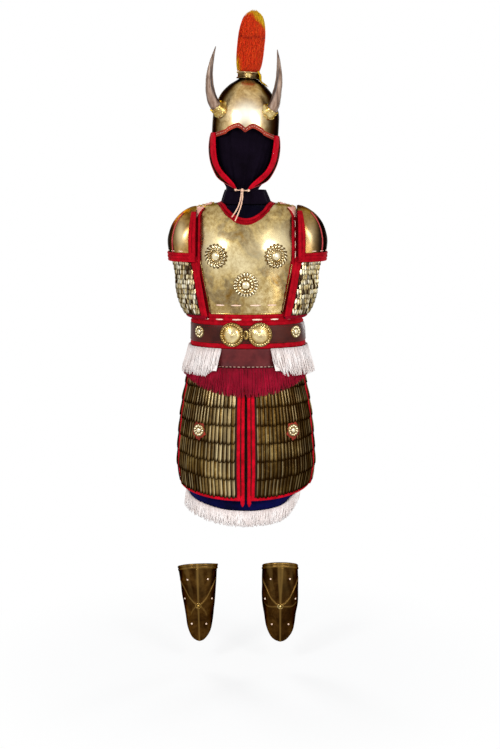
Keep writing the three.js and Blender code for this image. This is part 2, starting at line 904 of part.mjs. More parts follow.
// Skirt: drops as shares of its length, and shares of the way from the waist's sizes to the widest
const skirtShares = [
  [0, 0],
  [0.13, 0.3],
  [0.37, 0.72],
  [0.72, 1],
  [1.04, 0.95],
];
const skirtLength = skirtFrontBottom - skirtTop;
const skirtWaistHalf = waistWidth / 2 + skirtSideEase;
const skirtWaistFront = waistFront + skirtFrontEase;
const skirtWaistBack = waistBack + skirtBackEase;
const skirtHalf = hemWidth / 2 + skirtSideFlare;
const skirtFront = hemFront + skirtFrontFlare;
const skirtBack = hemBack + skirtBackFlare;
const skirtSections = [...skirtShares].reverse().map(([down, grown]) => [
  -skirtTop - down * skirtLength,
  lerp(skirtWaistHalf, skirtHalf, grown),
  lerp(skirtWaistFront, skirtFront, grown),
  lerp(skirtWaistBack, skirtBack, grown),
]);
const skirtBottomAt = (turn) => skirtFrontBottom - skirtSideRise * (1 - Math.max(Math.cos(turn), 0) ** 1.2);

// A point of the skirt at a share of the way up from its edge
function skirt(turn, share) {
  const height = lerp(-skirtBottomAt(turn), -skirtTop, share);
  const [, half, front, back] = rowAt(skirtSections, placeOf(skirtSections, height));
  const [x, y] = section(turn, half, front, back);
  return new THREE.Vector3(x, y, height);
}

const slitTurn = turnOfSide(skirtSlit / 2, skirtHalf);
const sideTurn = radians(skirtSideTurn);
const acrossTurn = (width) => width / ((skirtHalf + skirtFront) / 2);
const upShare = (width) => width / skirtLength;
const centreTurn = slitTurn + 2.2 * acrossTurn(centreBinding) / 2;

// Leather with a thicker binding along its lower edge and its two sides
function boundLeather(surface, from, columns, to, low, rows, thin, thick) {
  const [inner, outer] = [columns[0], columns[columns.length - 1]];
  const before = [from, inner - 2 * tangentStep, inner - tangentStep];
  const after = [outer + tangentStep, outer + 2 * tangentStep, to];
  const us = [...before, ...columns, ...after];
  const last = us.length - 1;
  const vs = [0, low - 2 * tangentStep, low - tangentStep, ...rows, 1];
  const lift = (i, j) => (i < 2 || i > last - 2 || j < 2 ? thick : thin);
  return skin(surface, us, vs, 0, lift, false, [0, ...range(columns.length).map((i) => i + 3), last]);
}

// Rows of long scales: each row tips outwards and laps the one below it, and each scale has a raised middle
function scaleRows(surface, us, kept, keptRows, bottom, top, rows, low, thick, lap) {
  const shares = range(rows).flatMap((row) => {
    const [start, end] = [lerp(bottom, top, row / rows), lerp(bottom, top, (row + 1) / rows)];
    return row === rows - 1 ? [start, end] : [start, end - tangentStep];
  });
  const high = (i, j) => low + thick * (i % 2 ? 1 : 0.55) + (j % 2 ? 0 : lap);
  const backColumns = range(us.length).filter((i) => i % kept === 0);
  const backRows = range(shares.length).filter((j) => j === shares.length - 1 || j % keptRows === 0);
  return skin(surface, us, shares, low, high, false, backColumns, backRows);
}

const scaleLow = skirtLeather + gap;
const scaleTopShare = (skirtFrontBottom - scaleStart) / skirtLength;

const skirtColumns = spaced(
  centreTurn + acrossTurn(gap * 2),
  sideTurn - acrossTurn(skirtBinding + gap * 2),
  skirtScales * 2,
);
const skirtKept = 4;
const skirtLow = upShare(skirtBinding + gap * 2);
const skirtRowShare = (row) => lerp(skirtLow, scaleTopShare, row / skirtRows);

function makeSkirtFront() {
  const columns = skirtColumns.filter((_, i) => i % skirtKept === 0);
  const rows = range(skirtRows).slice(1).filter((row) => row % 2 === 0).map(skirtRowShare);
  return boundLeather(skirt, slitTurn, columns, sideTurn, skirtLow, rows, skirtLeather, bindingThick);
}

function makeSkirtScales() {
  const [bottom, top] = [skirtLow, scaleTopShare];
  return scaleRows(skirt, skirtColumns, skirtKept, 4, bottom, top, skirtRows, scaleLow, scaleThick, scaleLap);
}

const tasselLow = scaleLow + scaleThick + scaleLap + gap;
const tasselBottomAt = (turn) => lerp(tasselSide, tasselFront, Math.max(Math.cos(turn), 0) ** 2);

// The maroon fringe hangs over the top of the skirt, down to a V at the front
function tassel(turn, share) {
  const height = lerp(-tasselBottomAt(turn), -skirtTop, share);
  const bottom = -skirtBottomAt(turn);
  const at = skirt(turn, (height - bottom) / (-skirtTop - bottom));
  const out = new THREE.Vector3(at.x, at.y, 0).normalize();
  return at.addScaledVector(out, tasselFlare * (1 - share));
}

function makeTassels() {
  const steps = Math.round(skirtSideTurn / tasselRibTurn) * 2;
  const high = (i) => tasselLow + tasselThick * (i % 2 ? 0.55 : 1);
  return skin(tassel, spaced(slitTurn, sideTurn, steps), [0, 1], tasselLow, high);
}

const skirtBackColumns = 14;
const backFringeLow = skirtLeather + scaleThick + scaleLap / 2 + gap;

function makeSkirtBack() {
  const from = sideTurn + acrossTurn(skirtSlit);
  const turns = spaced(from, 2 * Math.PI - from, skirtBackColumns);
  const low = upShare(skirtBinding);
  const steps = range(skirtRows).flatMap((row) => {
    const edge = (k) => lerp(low, scaleTopShare, k / skirtRows);
    return [edge(row), edge(row + 1) - tangentStep];
  });
  const shares = [0, low - tangentStep, ...steps, 1];
  const scaleLift = (j) => skirtLeather + scaleThick + (j % 2 ? 0 : scaleLap);
  const last = shares.length - 1;
  const lift = (_, j) => (j < 2 ? bindingThick : j === last ? backFringeLow - gap : scaleLift(j));
  const backRows = range(shares.length).filter((j) => j < 2 || j === shares.length - 1 || j % 4 === 0);
  return skin(skirt, turns, shares, 0, lift, false, range(turns.length), backRows);
}

function makeBackTassels() {
  const from = sideTurn + acrossTurn(skirtSlit);
  const high = (i) => backFringeLow + tasselThick * (i % 2 ? 0.55 : 1);
  const even = range(skirtBackColumns + 1).map((i) => i * 2);
  const turns = spaced(from, 2 * Math.PI - from, skirtBackColumns * 2);
  return skin(tassel, turns, [0, 1], backFringeLow, high, false, even);
}

function makeSkirtRosette() {
  const share = (skirtBottomAt(0) - skirtRosetteHeight) / skirtLength;
  const [, half] = rowAt(skirtSections, placeOf(skirtSections, -skirtRosetteHeight));
  const lift = scaleLow + scaleThick + scaleLap;
  const { at, normal } = frontOf(skirt, half, skirtRosetteSide, share, lift + gap);
  const turns = around(60);
  const seat = solid(filled(skirt, turns, spaced(share - 0.12, share + 0.12, 6), lift + gap));
  return seated(plainRosetteShares, smallRosetteRadius, smallRosetteRise, at, normal, seat, 10);
}

addPair("skirt", makeSkirtFront(), maroonWool);
addPair("skirt_scales", makeSkirtScales(), bronze);
addPair("skirt_fringe", makeTassels(), maroonWool);
addPair("skirt_rosette", makeSkirtRosette(), bronze);
add("skirt_back", makeSkirtBack(), bronze);
add("back_fringe", makeBackTassels(), maroonWool);

// Shoulder guards: heights as shares of the way up, reach and depth as shares of the guard's
const guardShares = [
  [0, 0.94, 1],
  [0.16, 0.97, 1],
  [0.36, 1, 1],
  [0.52, 0.95, 0.97],
  [0.68, 0.83, 0.88],
  [0.82, 0.64, 0.72],
  [0.92, 0.42, 0.52],
  [0.975, 0.22, 0.3],
  [1, 0.03, 0.04],
];
const guardRows = guardShares.map(([up, out, deep]) => [
  lerp(guardBottom, guardTop, up),
  out * guardReach,
  deep * guardHalfDepth,
]);

function guard(turn, place) {
  const [height, reach, deep] = rowAt(guardRows, place);
  const [x, y] = section(turn, reach, deep, deep);
  return new THREE.Vector3(guardInner + x, y, height);
}

const guardPlace = (height) => placeOf(guardRows, height);
const guardTurns = spaced(0, Math.PI, 8);
const guardLevels = (from, to) => [
  guardPlace(from),
  ...range(guardRows.length).filter((i) => guardRows[i][0] > from + gap && guardRows[i][0] < to - gap),
  guardPlace(to),
];

function makeGuardPlate() {
  return skin(guard, guardTurns, guardLevels(guardPlateBottom, guardTop), -plateThick, 0);
}

// The felt that edges a guard: a band below the plate and one up each side of its opening
function makeGuardTrim() {
  const [low, high] = [gap, gap + guardFelt];
  const band = radians(guardFrontBand);
  const upper = guardTop - guardReach / 5;
  const belowPlaces = [guardBottom, guardPlateBottom + feltThick].map(guardPlace);
  const foldPlaces = [guardBottom, guardPlateBottom - gap].map(guardPlace);
  const uprightPlaces = guardLevels(guardBottom, upper);
  const below = skin(guard, guardTurns, belowPlaces, low, high);
  const fold = skin(guard, guardTurns, foldPlaces, -guardFelt, high / 2);
  const upright = (from) => skin(guard, spaced(from, from + band, 2), uprightPlaces, low, high);
  const others = [fold, upright(0), upright(Math.PI - band)];
  return others.reduce((sum, piece) => sum.add(solid(piece)), solid(below));
}

addPair("shoulder_guard", makeGuardPlate(), bronze);
addPair("shoulder_trim", makeGuardTrim(), redFelt);

// Arm guards: drops as shares of their length, and their half-width and depth as shares of the largest
const armShares = [
  [1, 0.815, 1],
  [0.93, 0.875, 0.99],
  [0.78, 0.94, 0.97],
  [0.55, 0.99, 0.93],
  [0.3, 1, 0.87],
];
// At the top an arm guard just fits inside its shoulder guard
const armTopShare = 0.8;
const armHalf = waistWidth / 2 + armSpread;
const armTopFree = guardInner - armTopInset; // half-width at which the front edge starts at the top
const armBottomFree = guardInner - armBottomInset;
const armLow = armLeather + gap * 2.5;
const armTopHalf = guardInner + guardReach * 0.94 - guardFelt - armLow - armScaleThick - armScaleLap;
const armSections = [
  ...armShares.map(([down, wide, deep]) => [
    lerp(armTop, armBottom, down),
    wide * armHalf,
    deep * armFront,
    deep * armBack,
  ]),
  [armTop, armTopHalf, armTopShare * armFront, armTopShare * armBack],
];

// A point of the right arm guard: from its front edge to its back edge, and from the bottom up
function arm(share, up) {
  const height = lerp(armBottom, armTop, up);
  const [, half, front, back] = rowAt(armSections, placeOf(armSections, height));
  const start = turnOfSide(lerp(armBottomFree, armTopFree, up), half);
  const [x, y] = section(lerp(start, Math.PI - start, share), half, front, back);
  return new THREE.Vector3(x, y, height);
}

const armRound = armHalf * 1.6;
const armEdge = (armBinding + gap * 2) / armRound;
const armColumns = spaced(armEdge, 1 - armEdge, armScales * 2);
const armFoot = (armBinding + gap * 2) / (armTop - armBottom);

function makeArmGuard() {
  const columns = armColumns.filter((_, i) => i % 2 === 0);
  return boundLeather(arm, 0, columns, 1, armFoot, [0.35, 0.7], armLeather, armBindingThick);
}

const makeArmScales = () =>
  scaleRows(arm, armColumns, 2, 1, armFoot, 1, armRows, armLow, armScaleThick, armScaleLap);

addPair("arm_guard", makeArmGuard(), maroonWool);
addPair("arm_scales", makeArmScales(), bronze);

// Head: everything on it leans by the same small angle
function leaning(geometry) {
  return geometry
    .clone()
    .translate(0, 0, -headTiltHeight)
    .rotateY(radians(headTilt))
    .translate(0, 0, headTiltHeight + shoulderHeight);
}

function addHead(name, made, material) {
  const geometry = made.isBufferGeometry ? geometryOf(solid(made)) : geometryOf(made);
  add(name, leaning(geometry), material);
}

function addHeadPair(name, made, material) {
  const geometry = made.isBufferGeometry ? geometryOf(solid(made)) : geometryOf(made);
  add(name + "_left", leaning(mirrored(geometry)), material);
  add(name + "_right", leaning(geometry), material);
}

const browEdge = radians(browTurn);
const helmetTurns = [
  ...spaced(-browEdge, browEdge, 12),
  ...spaced(browEdge, 2 * Math.PI - browEdge, 8).slice(1, -1),
];

// The cloth-covered form: heights as shares of the way up, then half-width, front and back as shares
// of their own
const headShares = [
  [0, 0.68, 0.66, 0.58],
  [0.14, 0.82, 0.9, 0.74],
  [0.34, 0.97, 1, 0.92],
  [0.66, 1, 0.98, 1],
  [0.84, 0.84, 0.82, 0.86],
  [0.95, 0.52, 0.52, 0.56],
  [1, 0.2, 0.2, 0.2],
];
const headBase = neckClothRise + gap / 2 + headShares[0][1] * headHalf * Math.sin(radians(headTilt));
const headRows = headShares.map(([up, wide, front, back]) => [
  lerp(headBase, headCrown, up),
  wide * headHalf,
  front * headFront,
  back * headBack,
]);

function head(turn, place) {
  const [height, half, front, back] = rowAt(headRows, place);
  const [x, y] = section(turn, half, front, back);
  return new THREE.Vector3(x, y, height);
}

// A hollow cap: what a surface encloses, less the same drawn in by a wall and open at the bottom
function hollowCap(surface, turns, places, bottomOf, wall) {
  const rings = (lift, drop) => [
    turns.map((turn) => lifted(surface, turn, bottomOf(turn), lift).add(new THREE.Vector3(0, 0, -drop))),
    ...places.map((place) => turns.map((turn) => lifted(surface, turn, place, lift))),
  ];
  const inner = rings(-wall, 0);
  const top = inner[inner.length - 1];
  top.forEach((p) => p.setZ(p.z - wall / 2));
  const below = new THREE.Vector3(0, 0, -overrun);
  const start = turns.map((turn) => lifted(surface, turn, bottomOf(turn), -wall).add(below));
  return solid(loft(rings(0, 0))).subtract(solid(loft([start, ...inner])));
}

addHead(
  "head_form",
  hollowCap(head, helmetTurns, range(headRows.length).slice(1), () => 0, headWall),
  navyCloth,
);

// Helmet: heights as shares of the way from its back edge to its top, and its girth as a share
const helmetShares = [
  [0, 1],
  [0.31, 1],
  [0.44, 0.985],
  [0.58, 0.92],
  [0.75, 0.78],
  [0.88, 0.57],
  [0.955, 0.38],
  [1, 0.26],
];
const helmetRows = helmetShares.map(([up, wide]) => [lerp(helmetBack, helmetTop, up), wide]);

function helmet(turn, place) {
  const [height, wide] = rowAt(helmetRows, place);
  const [x, y] = section(turn, wide * helmetHalf, wide * helmetFront, wide * helmetRear);
  return new THREE.Vector3(x, y, height);
}

const browLine = [
  [0, browCusp],
  [browArchSide / 2, lerp(browCusp, browArch, 0.8)],
  [browArchSide, browArch],
  [browFootSide, browFoot],
  [browStepSide, browStep],
  [browEndSide, helmetSide],
];

// Height of the helmet's edge: two arches over the brow, level at the sides and lower behind
function rimHeight(turn) {
  const [x] = section(turn, helmetHalf, helmetFront, helmetRear);
  const side = Math.abs(x);
  if (Math.cos(turn) <= 0) return lerp(helmetSide, helmetBack, Math.min(-Math.cos(turn) * 1.4, 1));
  return side >= browEndSide ? helmetSide : rowAt(browLine, placeOf(browLine, side))[1];
}

const rimPlace = (turn) => placeOf(helmetRows, rimHeight(turn));

const wholeHelmet = (lift) => solid(filled(helmet, helmetTurns, range(helmetRows.length), lift));

function makeBrowTrim() {
  const surface = (turn, share) => {
    const at = helmet(turn, rimPlace(turn));
    return at.setZ(at.z - gap * 3 - browTrim * (1 - share));
  };
  return skin(surface, spaced(-browEdge, browEdge, 12), [0, 1], gap - browTrimThick, gap);
}

// Felt ring between the helmet and the head form
function makeLiner() {
  const heights = [linerBottom, linerTop];
  const ring = (surface, rows, lift) =>
    heights.map((height) => helmetTurns.map((turn) => lifted(surface, turn, placeOf(rows, height), lift)));
  return ringSkin(ring(helmet, helmetRows, -helmetWall - gap * 2), ring(head, headRows, gap * 2));
}

addHead(
  "helmet",
  hollowCap(helmet, helmetTurns, range(helmetRows.length).slice(1), rimPlace, helmetWall),
  bronze,
);
addHead("brow_trim", makeBrowTrim(), brickLeather);
addHead("helmet_liner", makeLiner(), redFelt);

// Horns: out, forward and up as shares of the span, and the radius as a share of the root's
const hornShares = [
  [-0.1, 0.1, -0.05, 1.02],
  [0.03, 0, 0.02, 1],
  [0.137, -0.06, 0.13, 0.93],
  [0.2, -0.09, 0.33, 0.76],
  [0.215, -0.085, 0.56, 0.56],
  [0.185, -0.06, 0.8, 0.32],
  [0.14, -0.03, 1, 0.06],
];
const hornRoot = new THREE.Vector3(hornRootSide, -hornRootFront, hornRootHeight);
const hornCurve = new THREE.CatmullRomCurve3(
  hornShares.map((share) => new THREE.Vector3(...share).multiplyScalar(hornSpan).add(hornRoot)),
);

function hornRings(from, to, steps, grown) {
  return spaced(from, to, steps).map((t) => {
    const [, , , share] = rowAt(hornShares, t * (hornShares.length - 1));
    const along = hornCurve.getTangent(t);
    const across = new THREE.Vector3(0, 1, 0).cross(along).normalize();
    const ahead = along.clone().cross(across);
    const at = hornCurve.getPoint(t);
    return around(8).map((turn) =>
      at
        .clone()
        .addScaledVector(across, (share * hornRadius * hornFlatShare + grown(t)) * Math.cos(turn))
        .addScaledVector(ahead, (share * hornRadius + grown(t)) * Math.sin(turn)),
    );
  });
}

const makeHorn = () => mainBody(solid(loft(hornRings(0, 1, 10, () => 0))).subtract(wholeHelmet(gap)));

function makeHornSocket() {
  const start = 0;
  const end = hornSocketShare * 1.35;
  const flare = (t) => gap + hornSocketWall + hornSocketFlare * Math.max(1 - t / end, 0);
  const outer = solid(loft(hornRings(start, end, 3, flare)));
  const bore = solid(loft(hornRings(start, end * 1.5, 4, () => gap)));
  return mainBody(outer.subtract(bore).subtract(wholeHelmet(gap)));
}

addHeadPair("horn", makeHorn(), hornBone);
addHeadPair("horn_socket", makeHornSocket(), bronze);

// Plume socket: a flanged ring, in radius shares and height shares
function makePlumeSocket() {
  const bottom = helmetTop + gap;
  const top = bottom + socketHeight;
  const profile = [
    [socketBore, bottom],
    [socketRadius, bottom],
    [socketRadius, bottom + socketWall],
    [socketRadius - socketWall, bottom + socketHeight / 2],
    [socketRadius, top - socketWall],
    [socketRadius, top],
    [socketBore, top],
  ];
  return turnedAbout(profile, 16);
}

function turnedAbout(profile, segments) {
  const points = [...profile, profile[0]].map(([r, z]) => new THREE.Vector2(r, z));
  return new THREE.LatheGeometry(points, segments).rotateX(Math.PI / 2);
}

// The plume: its height in shares, and its girth in shares of the widest, over a stem in the socket
const plumeShares = [
  [0, 0.62],
  [0.2, 0.86],
  [0.48, 1],
  [0.66, 0.93],
  [0.82, 0.74],
  [0.93, 0.48],
  [1, 0.12],
];

function makePlume() {
  const base = helmetTop + gap * 2 + socketHeight;
  const rings = plumeShares.map(([up, wide]) =>
    around(plumeLocks * 2).map((turn, i) => {
      const lock = i % 2 ? 1 : 0.9;
      const [x, y] = [wide * lock * plumeHalf * Math.sin(turn), -wide * lock * plumeDeep * Math.cos(turn)];
      return new THREE.Vector3(x + plumeLean * up, y, base + up * plumeRise);
    }),
  );
  const foot = base - stemDrop;
  const stemRing = (height) =>
    around(plumeLocks * 2).map(
      (turn) => new THREE.Vector3(stemRadius * Math.sin(turn), -stemRadius * Math.cos(turn), height),
    );
  return loft([stemRing(foot), stemRing(base), ...rings]);
}

addHead("plume_socket", makePlumeSocket(), darkBronze);
addHead("plume", makePlume(), plumeRed);

// Cheek guards: height and sizes as shares: half-width, depth, front edge's side, and the back edge's turn
const cheekShares = [
  [0, 0.32, 0.98, 0.18, 0.4],
  [0.08, 0.5, 0.99, 0.25, 0.6],
  [0.19, 0.71, 1, 0.41, 0.75],
  [0.33, 0.87, 1, 0.62, 0.85],
  [0.51, 0.96, 1, 0.75, 0.93],
  [0.71, 1, 1, 0.8, 0.97],
  [0.89, 0.99, 1, 0.82, 1],
  [1, 0.955, 0.98, 0.83, 1],
];
const cheekRows = cheekShares.map(([up, wide, deep, inner, turned]) => [
  lerp(cheekTip, cheekTop, up),
  wide * cheekHalf,
  deep * cheekDepth,
  inner * cheekHalf,
  turned * (Math.PI / 2),
]);

function cheek(share, place) {
  const [height, half, deep, inner, end] = rowAt(cheekRows, place);
  const turn = lerp(turnOfSide(inner, half), end, share);
  const [x, y] = section(turn, half, deep, deep);
  return new THREE.Vector3(x, y, height);
}

const cheekLevels = [0, 0.7, 1.5, 2.4, 3.4, 4.6, 5.8, 7];

function makeCheekPlate() {
  return skin(cheek, [0, 0.25, 0.5, 0.75, 1], cheekLevels, -cheekWall, 0);
}

// The felt that edges a cheek guard along its front
function makeCheekFelt() {
  const levels = [0.25, ...cheekLevels.slice(1, -1), 6.8];
  const low = gap * 1.6;
  return skin(cheek, [0, 0.12, 0.34], levels, low, low + cheekFelt);
}

addHeadPair("cheek_plate", makeCheekPlate(), darkBronze);
addHeadPair("cheek_felt", makeCheekFelt(), redFelt);

// Chin tie: a toggle under each guard's tip, with a thong to the knot between them
const tip = lifted(cheek, 0.2, 0, -cheekWall / 2);
const tieHeight = cheekTip - toggleRadius - gap;

function alongX(stations, sides) {
  return loft(
    stations.map(([x, radius]) =>
      around(sides).map(
        (turn) => new THREE.Vector3(x, tip.y + radius * Math.cos(turn), tieHeight + radius * Math.sin(turn)),
      ),
    ),
  );
}

const makeToggle = () =>
  alongX(
    [
      [knotRadius + gap, thongRadius],
      [tip.x - toggleRadius, thongRadius],
      [tip.x - toggleRadius / 2, toggleRadius],
      [tip.x + toggleRadius / 2, toggleRadius],
      [tip.x + toggleRadius, thongRadius],
    ],
    8,
  );

const makeKnot = () =>
  alongX(
    [
      [-knotRadius, knotRadius / 2],
      [-knotRadius / 2, knotRadius],
      [knotRadius / 2, knotRadius],
      [knotRadius, knotRadius / 2],
    ],
    10,
  );

// The two ends of the tie hang from the knot, clear of the neck roll
const longEndRoute = [
  [-9.4, -93.4, 422.4],
  [-9.4, -94.4, 416.6],
  [-9.7, -96.6, 411],
  [-10.2, -99.4, 405.4],
  [-11, -102.4, 399.8],
  [-12, -105.2, 394],
  [-13.4, -107.8, 388],
  [-15, -110, 382],
  [-17, -111.8, 375.8],
  [-19.2, -113.2, 369.6],
  [-21.6, -114.2, 363.4],
  [-24.2, -115, 357.2],
  [-26.8, -115.6, 351],
  [-29.4, -116, 344.8],
  [-32, -116.2, 338.4],
];
const shortEndRoute = [
  [-13.6, -93.4, 422.4],
  [-13.8, -94.6, 416.6],
  [-14.4, -97, 411],
  [-15.3, -99.8, 405.6],
  [-16.4, -102.6, 400.2],
  [-17.8, -105.4, 394.8],
  [-19.5, -107.8, 389.4],
  [-21.4, -109.8, 384.2],
  [-23.6, -111.4, 379],
  [-26, -112.4, 374],
  [-28.7, -113.2, 369.2],
  [-31.7, -113.8, 364.4],
  [-34.9, -114.2, 359.6],
  [-38.3, -114.4, 354.8],
  [-42, -114.6, 350],
];

function makeTieEnd(route) {
  const path = new THREE.CatmullRomCurve3(route.map(([x, y, z]) => new THREE.Vector3(x, y, z)));
  const shape = outline(ellipsePoints(0, 0, thongThick / 2, thongWidth / 2, 8));
  return new THREE.ExtrudeGeometry(shape, { steps: 10, bevelEnabled: false, extrudePath: path });
}

addHeadPair("toggle", makeToggle(), thongLeather);
addHead("knot", makeKnot(), thongLeather);
add("tie_end_long", makeTieEnd(longEndRoute), thongLeather);
add("tie_end_short", makeTieEnd(shortEndRoute), thongLeather);

// Greaves: a shin plate with a rolled top, a pointed foot, a centre rib and ribs that sweep to a boss
// Heights from the foot to the top, and the half-widths there, as shares
const greaveLeftShares = [
  [0, 0.56],
  [0.26, 0.62],
  [0.47, 0.75],
  [0.68, 0.87],
  [0.92, 0.98],
  [1, 1.02],
];
const greaveRightShares = [
  [0, 0.69],
  [0.26, 0.75],
  [0.47, 0.89],
  [0.68, 0.93],
  [0.92, 0.925],
  [1, 0.88],
];
const greaveTurn = radians(greaveWrap);
const rimUp = greaveRim / greaveHeight;

// Points of a greave: from its left edge at -1 to its right edge at 1, and from its foot up
const greaveOf = (shares) => (side, up) => {
  const foot = -greaveTop - greaveHeight + greaveFoot * Math.abs(side) ** 1.3;
  const below = up / (1 - rimUp);
  const z = below < 1 ? lerp(foot, -greaveTop - greaveRim, below) : -greaveTop - (1 - up) * greaveHeight;
  const [, size] = rowAt(shares, placeOf(shares, 1 + (z + greaveTop) / greaveHeight));
  const deep = size * greaveDepth;
  const [x, y] = section(side * greaveTurn, size * greaveHalf, deep, deep * 0.85);
  return new THREE.Vector3(x, y, z);
};

// A raised band along a path on a surface
function ribbon(surface, path, width, low, high) {
  const places = path.map(([u, v]) => surface(u, v));
  const rings = path.map(([u, v], i) => {
    const at = places[i];
    const normal = lifted(surface, u, v, 1).sub(at);
    const before = places[Math.max(i - 1, 0)];
    const after = places[Math.min(i + 1, places.length - 1)];
    const along = after.clone().sub(before).normalize();
    const side = normal.clone().cross(along).normalize();
    const corner = (out, up) =>
      at
        .clone()
        .addScaledVector(side, (out * width) / 2)
        .addScaledVector(normal, up);
    return [corner(1, low), corner(0, high), corner(-1, low)];
  });
  return solid(loft(rings));
}

// The top is rolled twice: places up the rim as shares of its height, and the rise there
const rimShares = [
  [0, 0],
  [0.25, 0.8],
  [0.5, 0.25],
  [0.75, 1],
  [1, 0.4],
];
const greaveColumns = spaced(-1, 1, 12);
const greaveLevels = [
  ...spaced(0, 1 - rimUp, 4).slice(0, -1),
  ...rimShares.map(([share]) => 1 - rimUp * (1 - share)),
];

const bossShare = 0.484;
const upperRibShares = [
  [0.78, 0.74],
  [0.6, 0.68],
  [0.3, 0.56],
  [0, bossShare],
];

function makeGreavePlate(surface) {
  const rimStart = greaveLevels.length - rimShares.length;
  const lift = (i, j) => (j < rimStart ? 0 : greaveRimRise * rimShares[j - rimStart][1]);
  const backRows = range(greaveLevels.length).filter((j) => j <= rimStart || j === greaveLevels.length - 1);
  return skin(surface, greaveColumns, greaveLevels, -greaveWall, lift, false, null, backRows);
}

function makeBoss(surface) {
  const root = lifted(surface, 0, bossShare, -greaveWall * 0.7);
  const profile = [
    [0, 0],
    [bossRadius, 0],
    [bossRadius, greaveWall + ribRise],
    [0, greaveWall + bossRise],
  ];
  const turned = new THREE.LatheGeometry(profile.map(([r, h]) => new THREE.Vector2(r, h)), 6);
  return solid(turned.rotateX(Math.PI / 2).translate(root.x, root.y, root.z));
}

function makeGreave(shares) {
  const surface = greaveOf(shares);
  const low = -greaveWall * 0.7;
  const flip = (path) => path.map(([u, v]) => [-u, v]);
  const upper = smoothLine(upperRibShares, 3);
  const middle = spaced(rimUp / 2, 1 - rimUp, 4).map((up) => [0, up]);
  const ribs = [upper, flip(upper), middle].map((path) => ribbon(surface, path, ribWidth, low, ribRise));
  const plate = solid(makeGreavePlate(surface));
  return geometryOf([...ribs, makeBoss(surface)].reduce((sum, piece) => sum.add(piece), plate));
}

add("greave_left", makeGreave(greaveLeftShares).translate(-greaveLeft, 0, 0), darkBronze);
add("greave_right", makeGreave(greaveRightShares).translate(greaveRight, 0, 0), darkBronze);

export default group;
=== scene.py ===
import math

import bmesh
import bpy
import numpy as np
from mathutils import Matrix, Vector


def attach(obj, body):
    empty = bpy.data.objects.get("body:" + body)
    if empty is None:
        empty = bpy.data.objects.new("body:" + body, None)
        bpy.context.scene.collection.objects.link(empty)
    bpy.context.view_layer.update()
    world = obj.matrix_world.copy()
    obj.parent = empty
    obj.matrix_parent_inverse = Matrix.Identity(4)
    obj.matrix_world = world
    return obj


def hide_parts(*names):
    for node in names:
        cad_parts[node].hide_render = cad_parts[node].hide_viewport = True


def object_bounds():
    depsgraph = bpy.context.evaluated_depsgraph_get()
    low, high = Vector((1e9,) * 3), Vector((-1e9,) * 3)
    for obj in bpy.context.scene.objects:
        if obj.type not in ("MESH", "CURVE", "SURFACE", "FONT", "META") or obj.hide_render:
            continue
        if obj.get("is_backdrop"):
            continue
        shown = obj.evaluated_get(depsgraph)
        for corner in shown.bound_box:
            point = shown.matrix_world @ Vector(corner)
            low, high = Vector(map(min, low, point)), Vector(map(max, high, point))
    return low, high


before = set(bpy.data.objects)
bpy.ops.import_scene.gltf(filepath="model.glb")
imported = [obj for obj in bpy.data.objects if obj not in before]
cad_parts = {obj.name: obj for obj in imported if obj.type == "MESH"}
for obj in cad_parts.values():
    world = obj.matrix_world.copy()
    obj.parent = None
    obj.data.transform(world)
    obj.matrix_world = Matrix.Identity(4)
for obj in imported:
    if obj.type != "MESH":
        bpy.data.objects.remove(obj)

cad_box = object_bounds()
MM = 0.001
TAU = 2 * math.pi
SIDES = (("left", -1), ("right", 1))
rng = np.random.default_rng(7)
scene = bpy.context.scene
scene.view_settings.view_transform = "Standard"


def added(name, data):
    made = bpy.data.objects.new(name, data)
    scene.collection.objects.link(made)
    return made


def node(tree, kind, inputs=(), **settings):
    """A shader node. inputs gives values, or sockets to link, by the input's name or number."""
    made = tree.nodes.new("ShaderNode" + kind)
    for key, value in settings.items():
        setattr(made, key, value)
    for key, value in dict(inputs).items():
        if isinstance(value, bpy.types.NodeSocket):
            tree.links.new(value, made.inputs[key])
        else:
            made.inputs[key].default_value = value
    return made


# ---- Camera, lamps and white surroundings
SENSOR = 36
PHOTO_FOCUS, PHOTO_HEIGHT = 1475, 749  # in pixels
LOOKS_DOWN = 8.654  # in degrees
camera = added("camera", bpy.data.cameras.new("camera"))
camera.location = (0.0122, -4.5, 0.5465)
camera.rotation_euler = (math.radians(90 - LOOKS_DOWN), 0, 0)
camera.data.sensor_fit = "AUTO"
camera.data.sensor_width = SENSOR
camera.data.lens = SENSOR * PHOTO_FOCUS / PHOTO_HEIGHT
scene.camera = camera

for name, place, target, size, power in (
    ("key", (-1.95, -3.15, 1.45), (0, 0, 0.1), (0.8, 0.8), 68),
    ("key_right", (1.85, -3.35, 1.4), (0, 0, 0.1), (0.7, 0.8), 44),
    ("fill", (2.2, -2.6, 0.4), (0, 0, 0), (0.8, 1.8), 20),
    ("back", (-1.6, 2.8, 1.6), (0, 0, 0.1), (1.0, 1.6), 60),
    ("back_fill", (1.9, 2.4, 0.6), (0, 0, 0), (0.8, 1.6), 30),
):
    light = bpy.data.lights.new(name, "AREA")
    light.shape = "RECTANGLE"
    light.size, light.size_y = size
    light.energy = power
    lamp = added(name, light)
    lamp.location = place
    lamp.rotation_euler = (Vector(target) - Vector(place)).to_track_quat("-Z", "Y").to_euler()


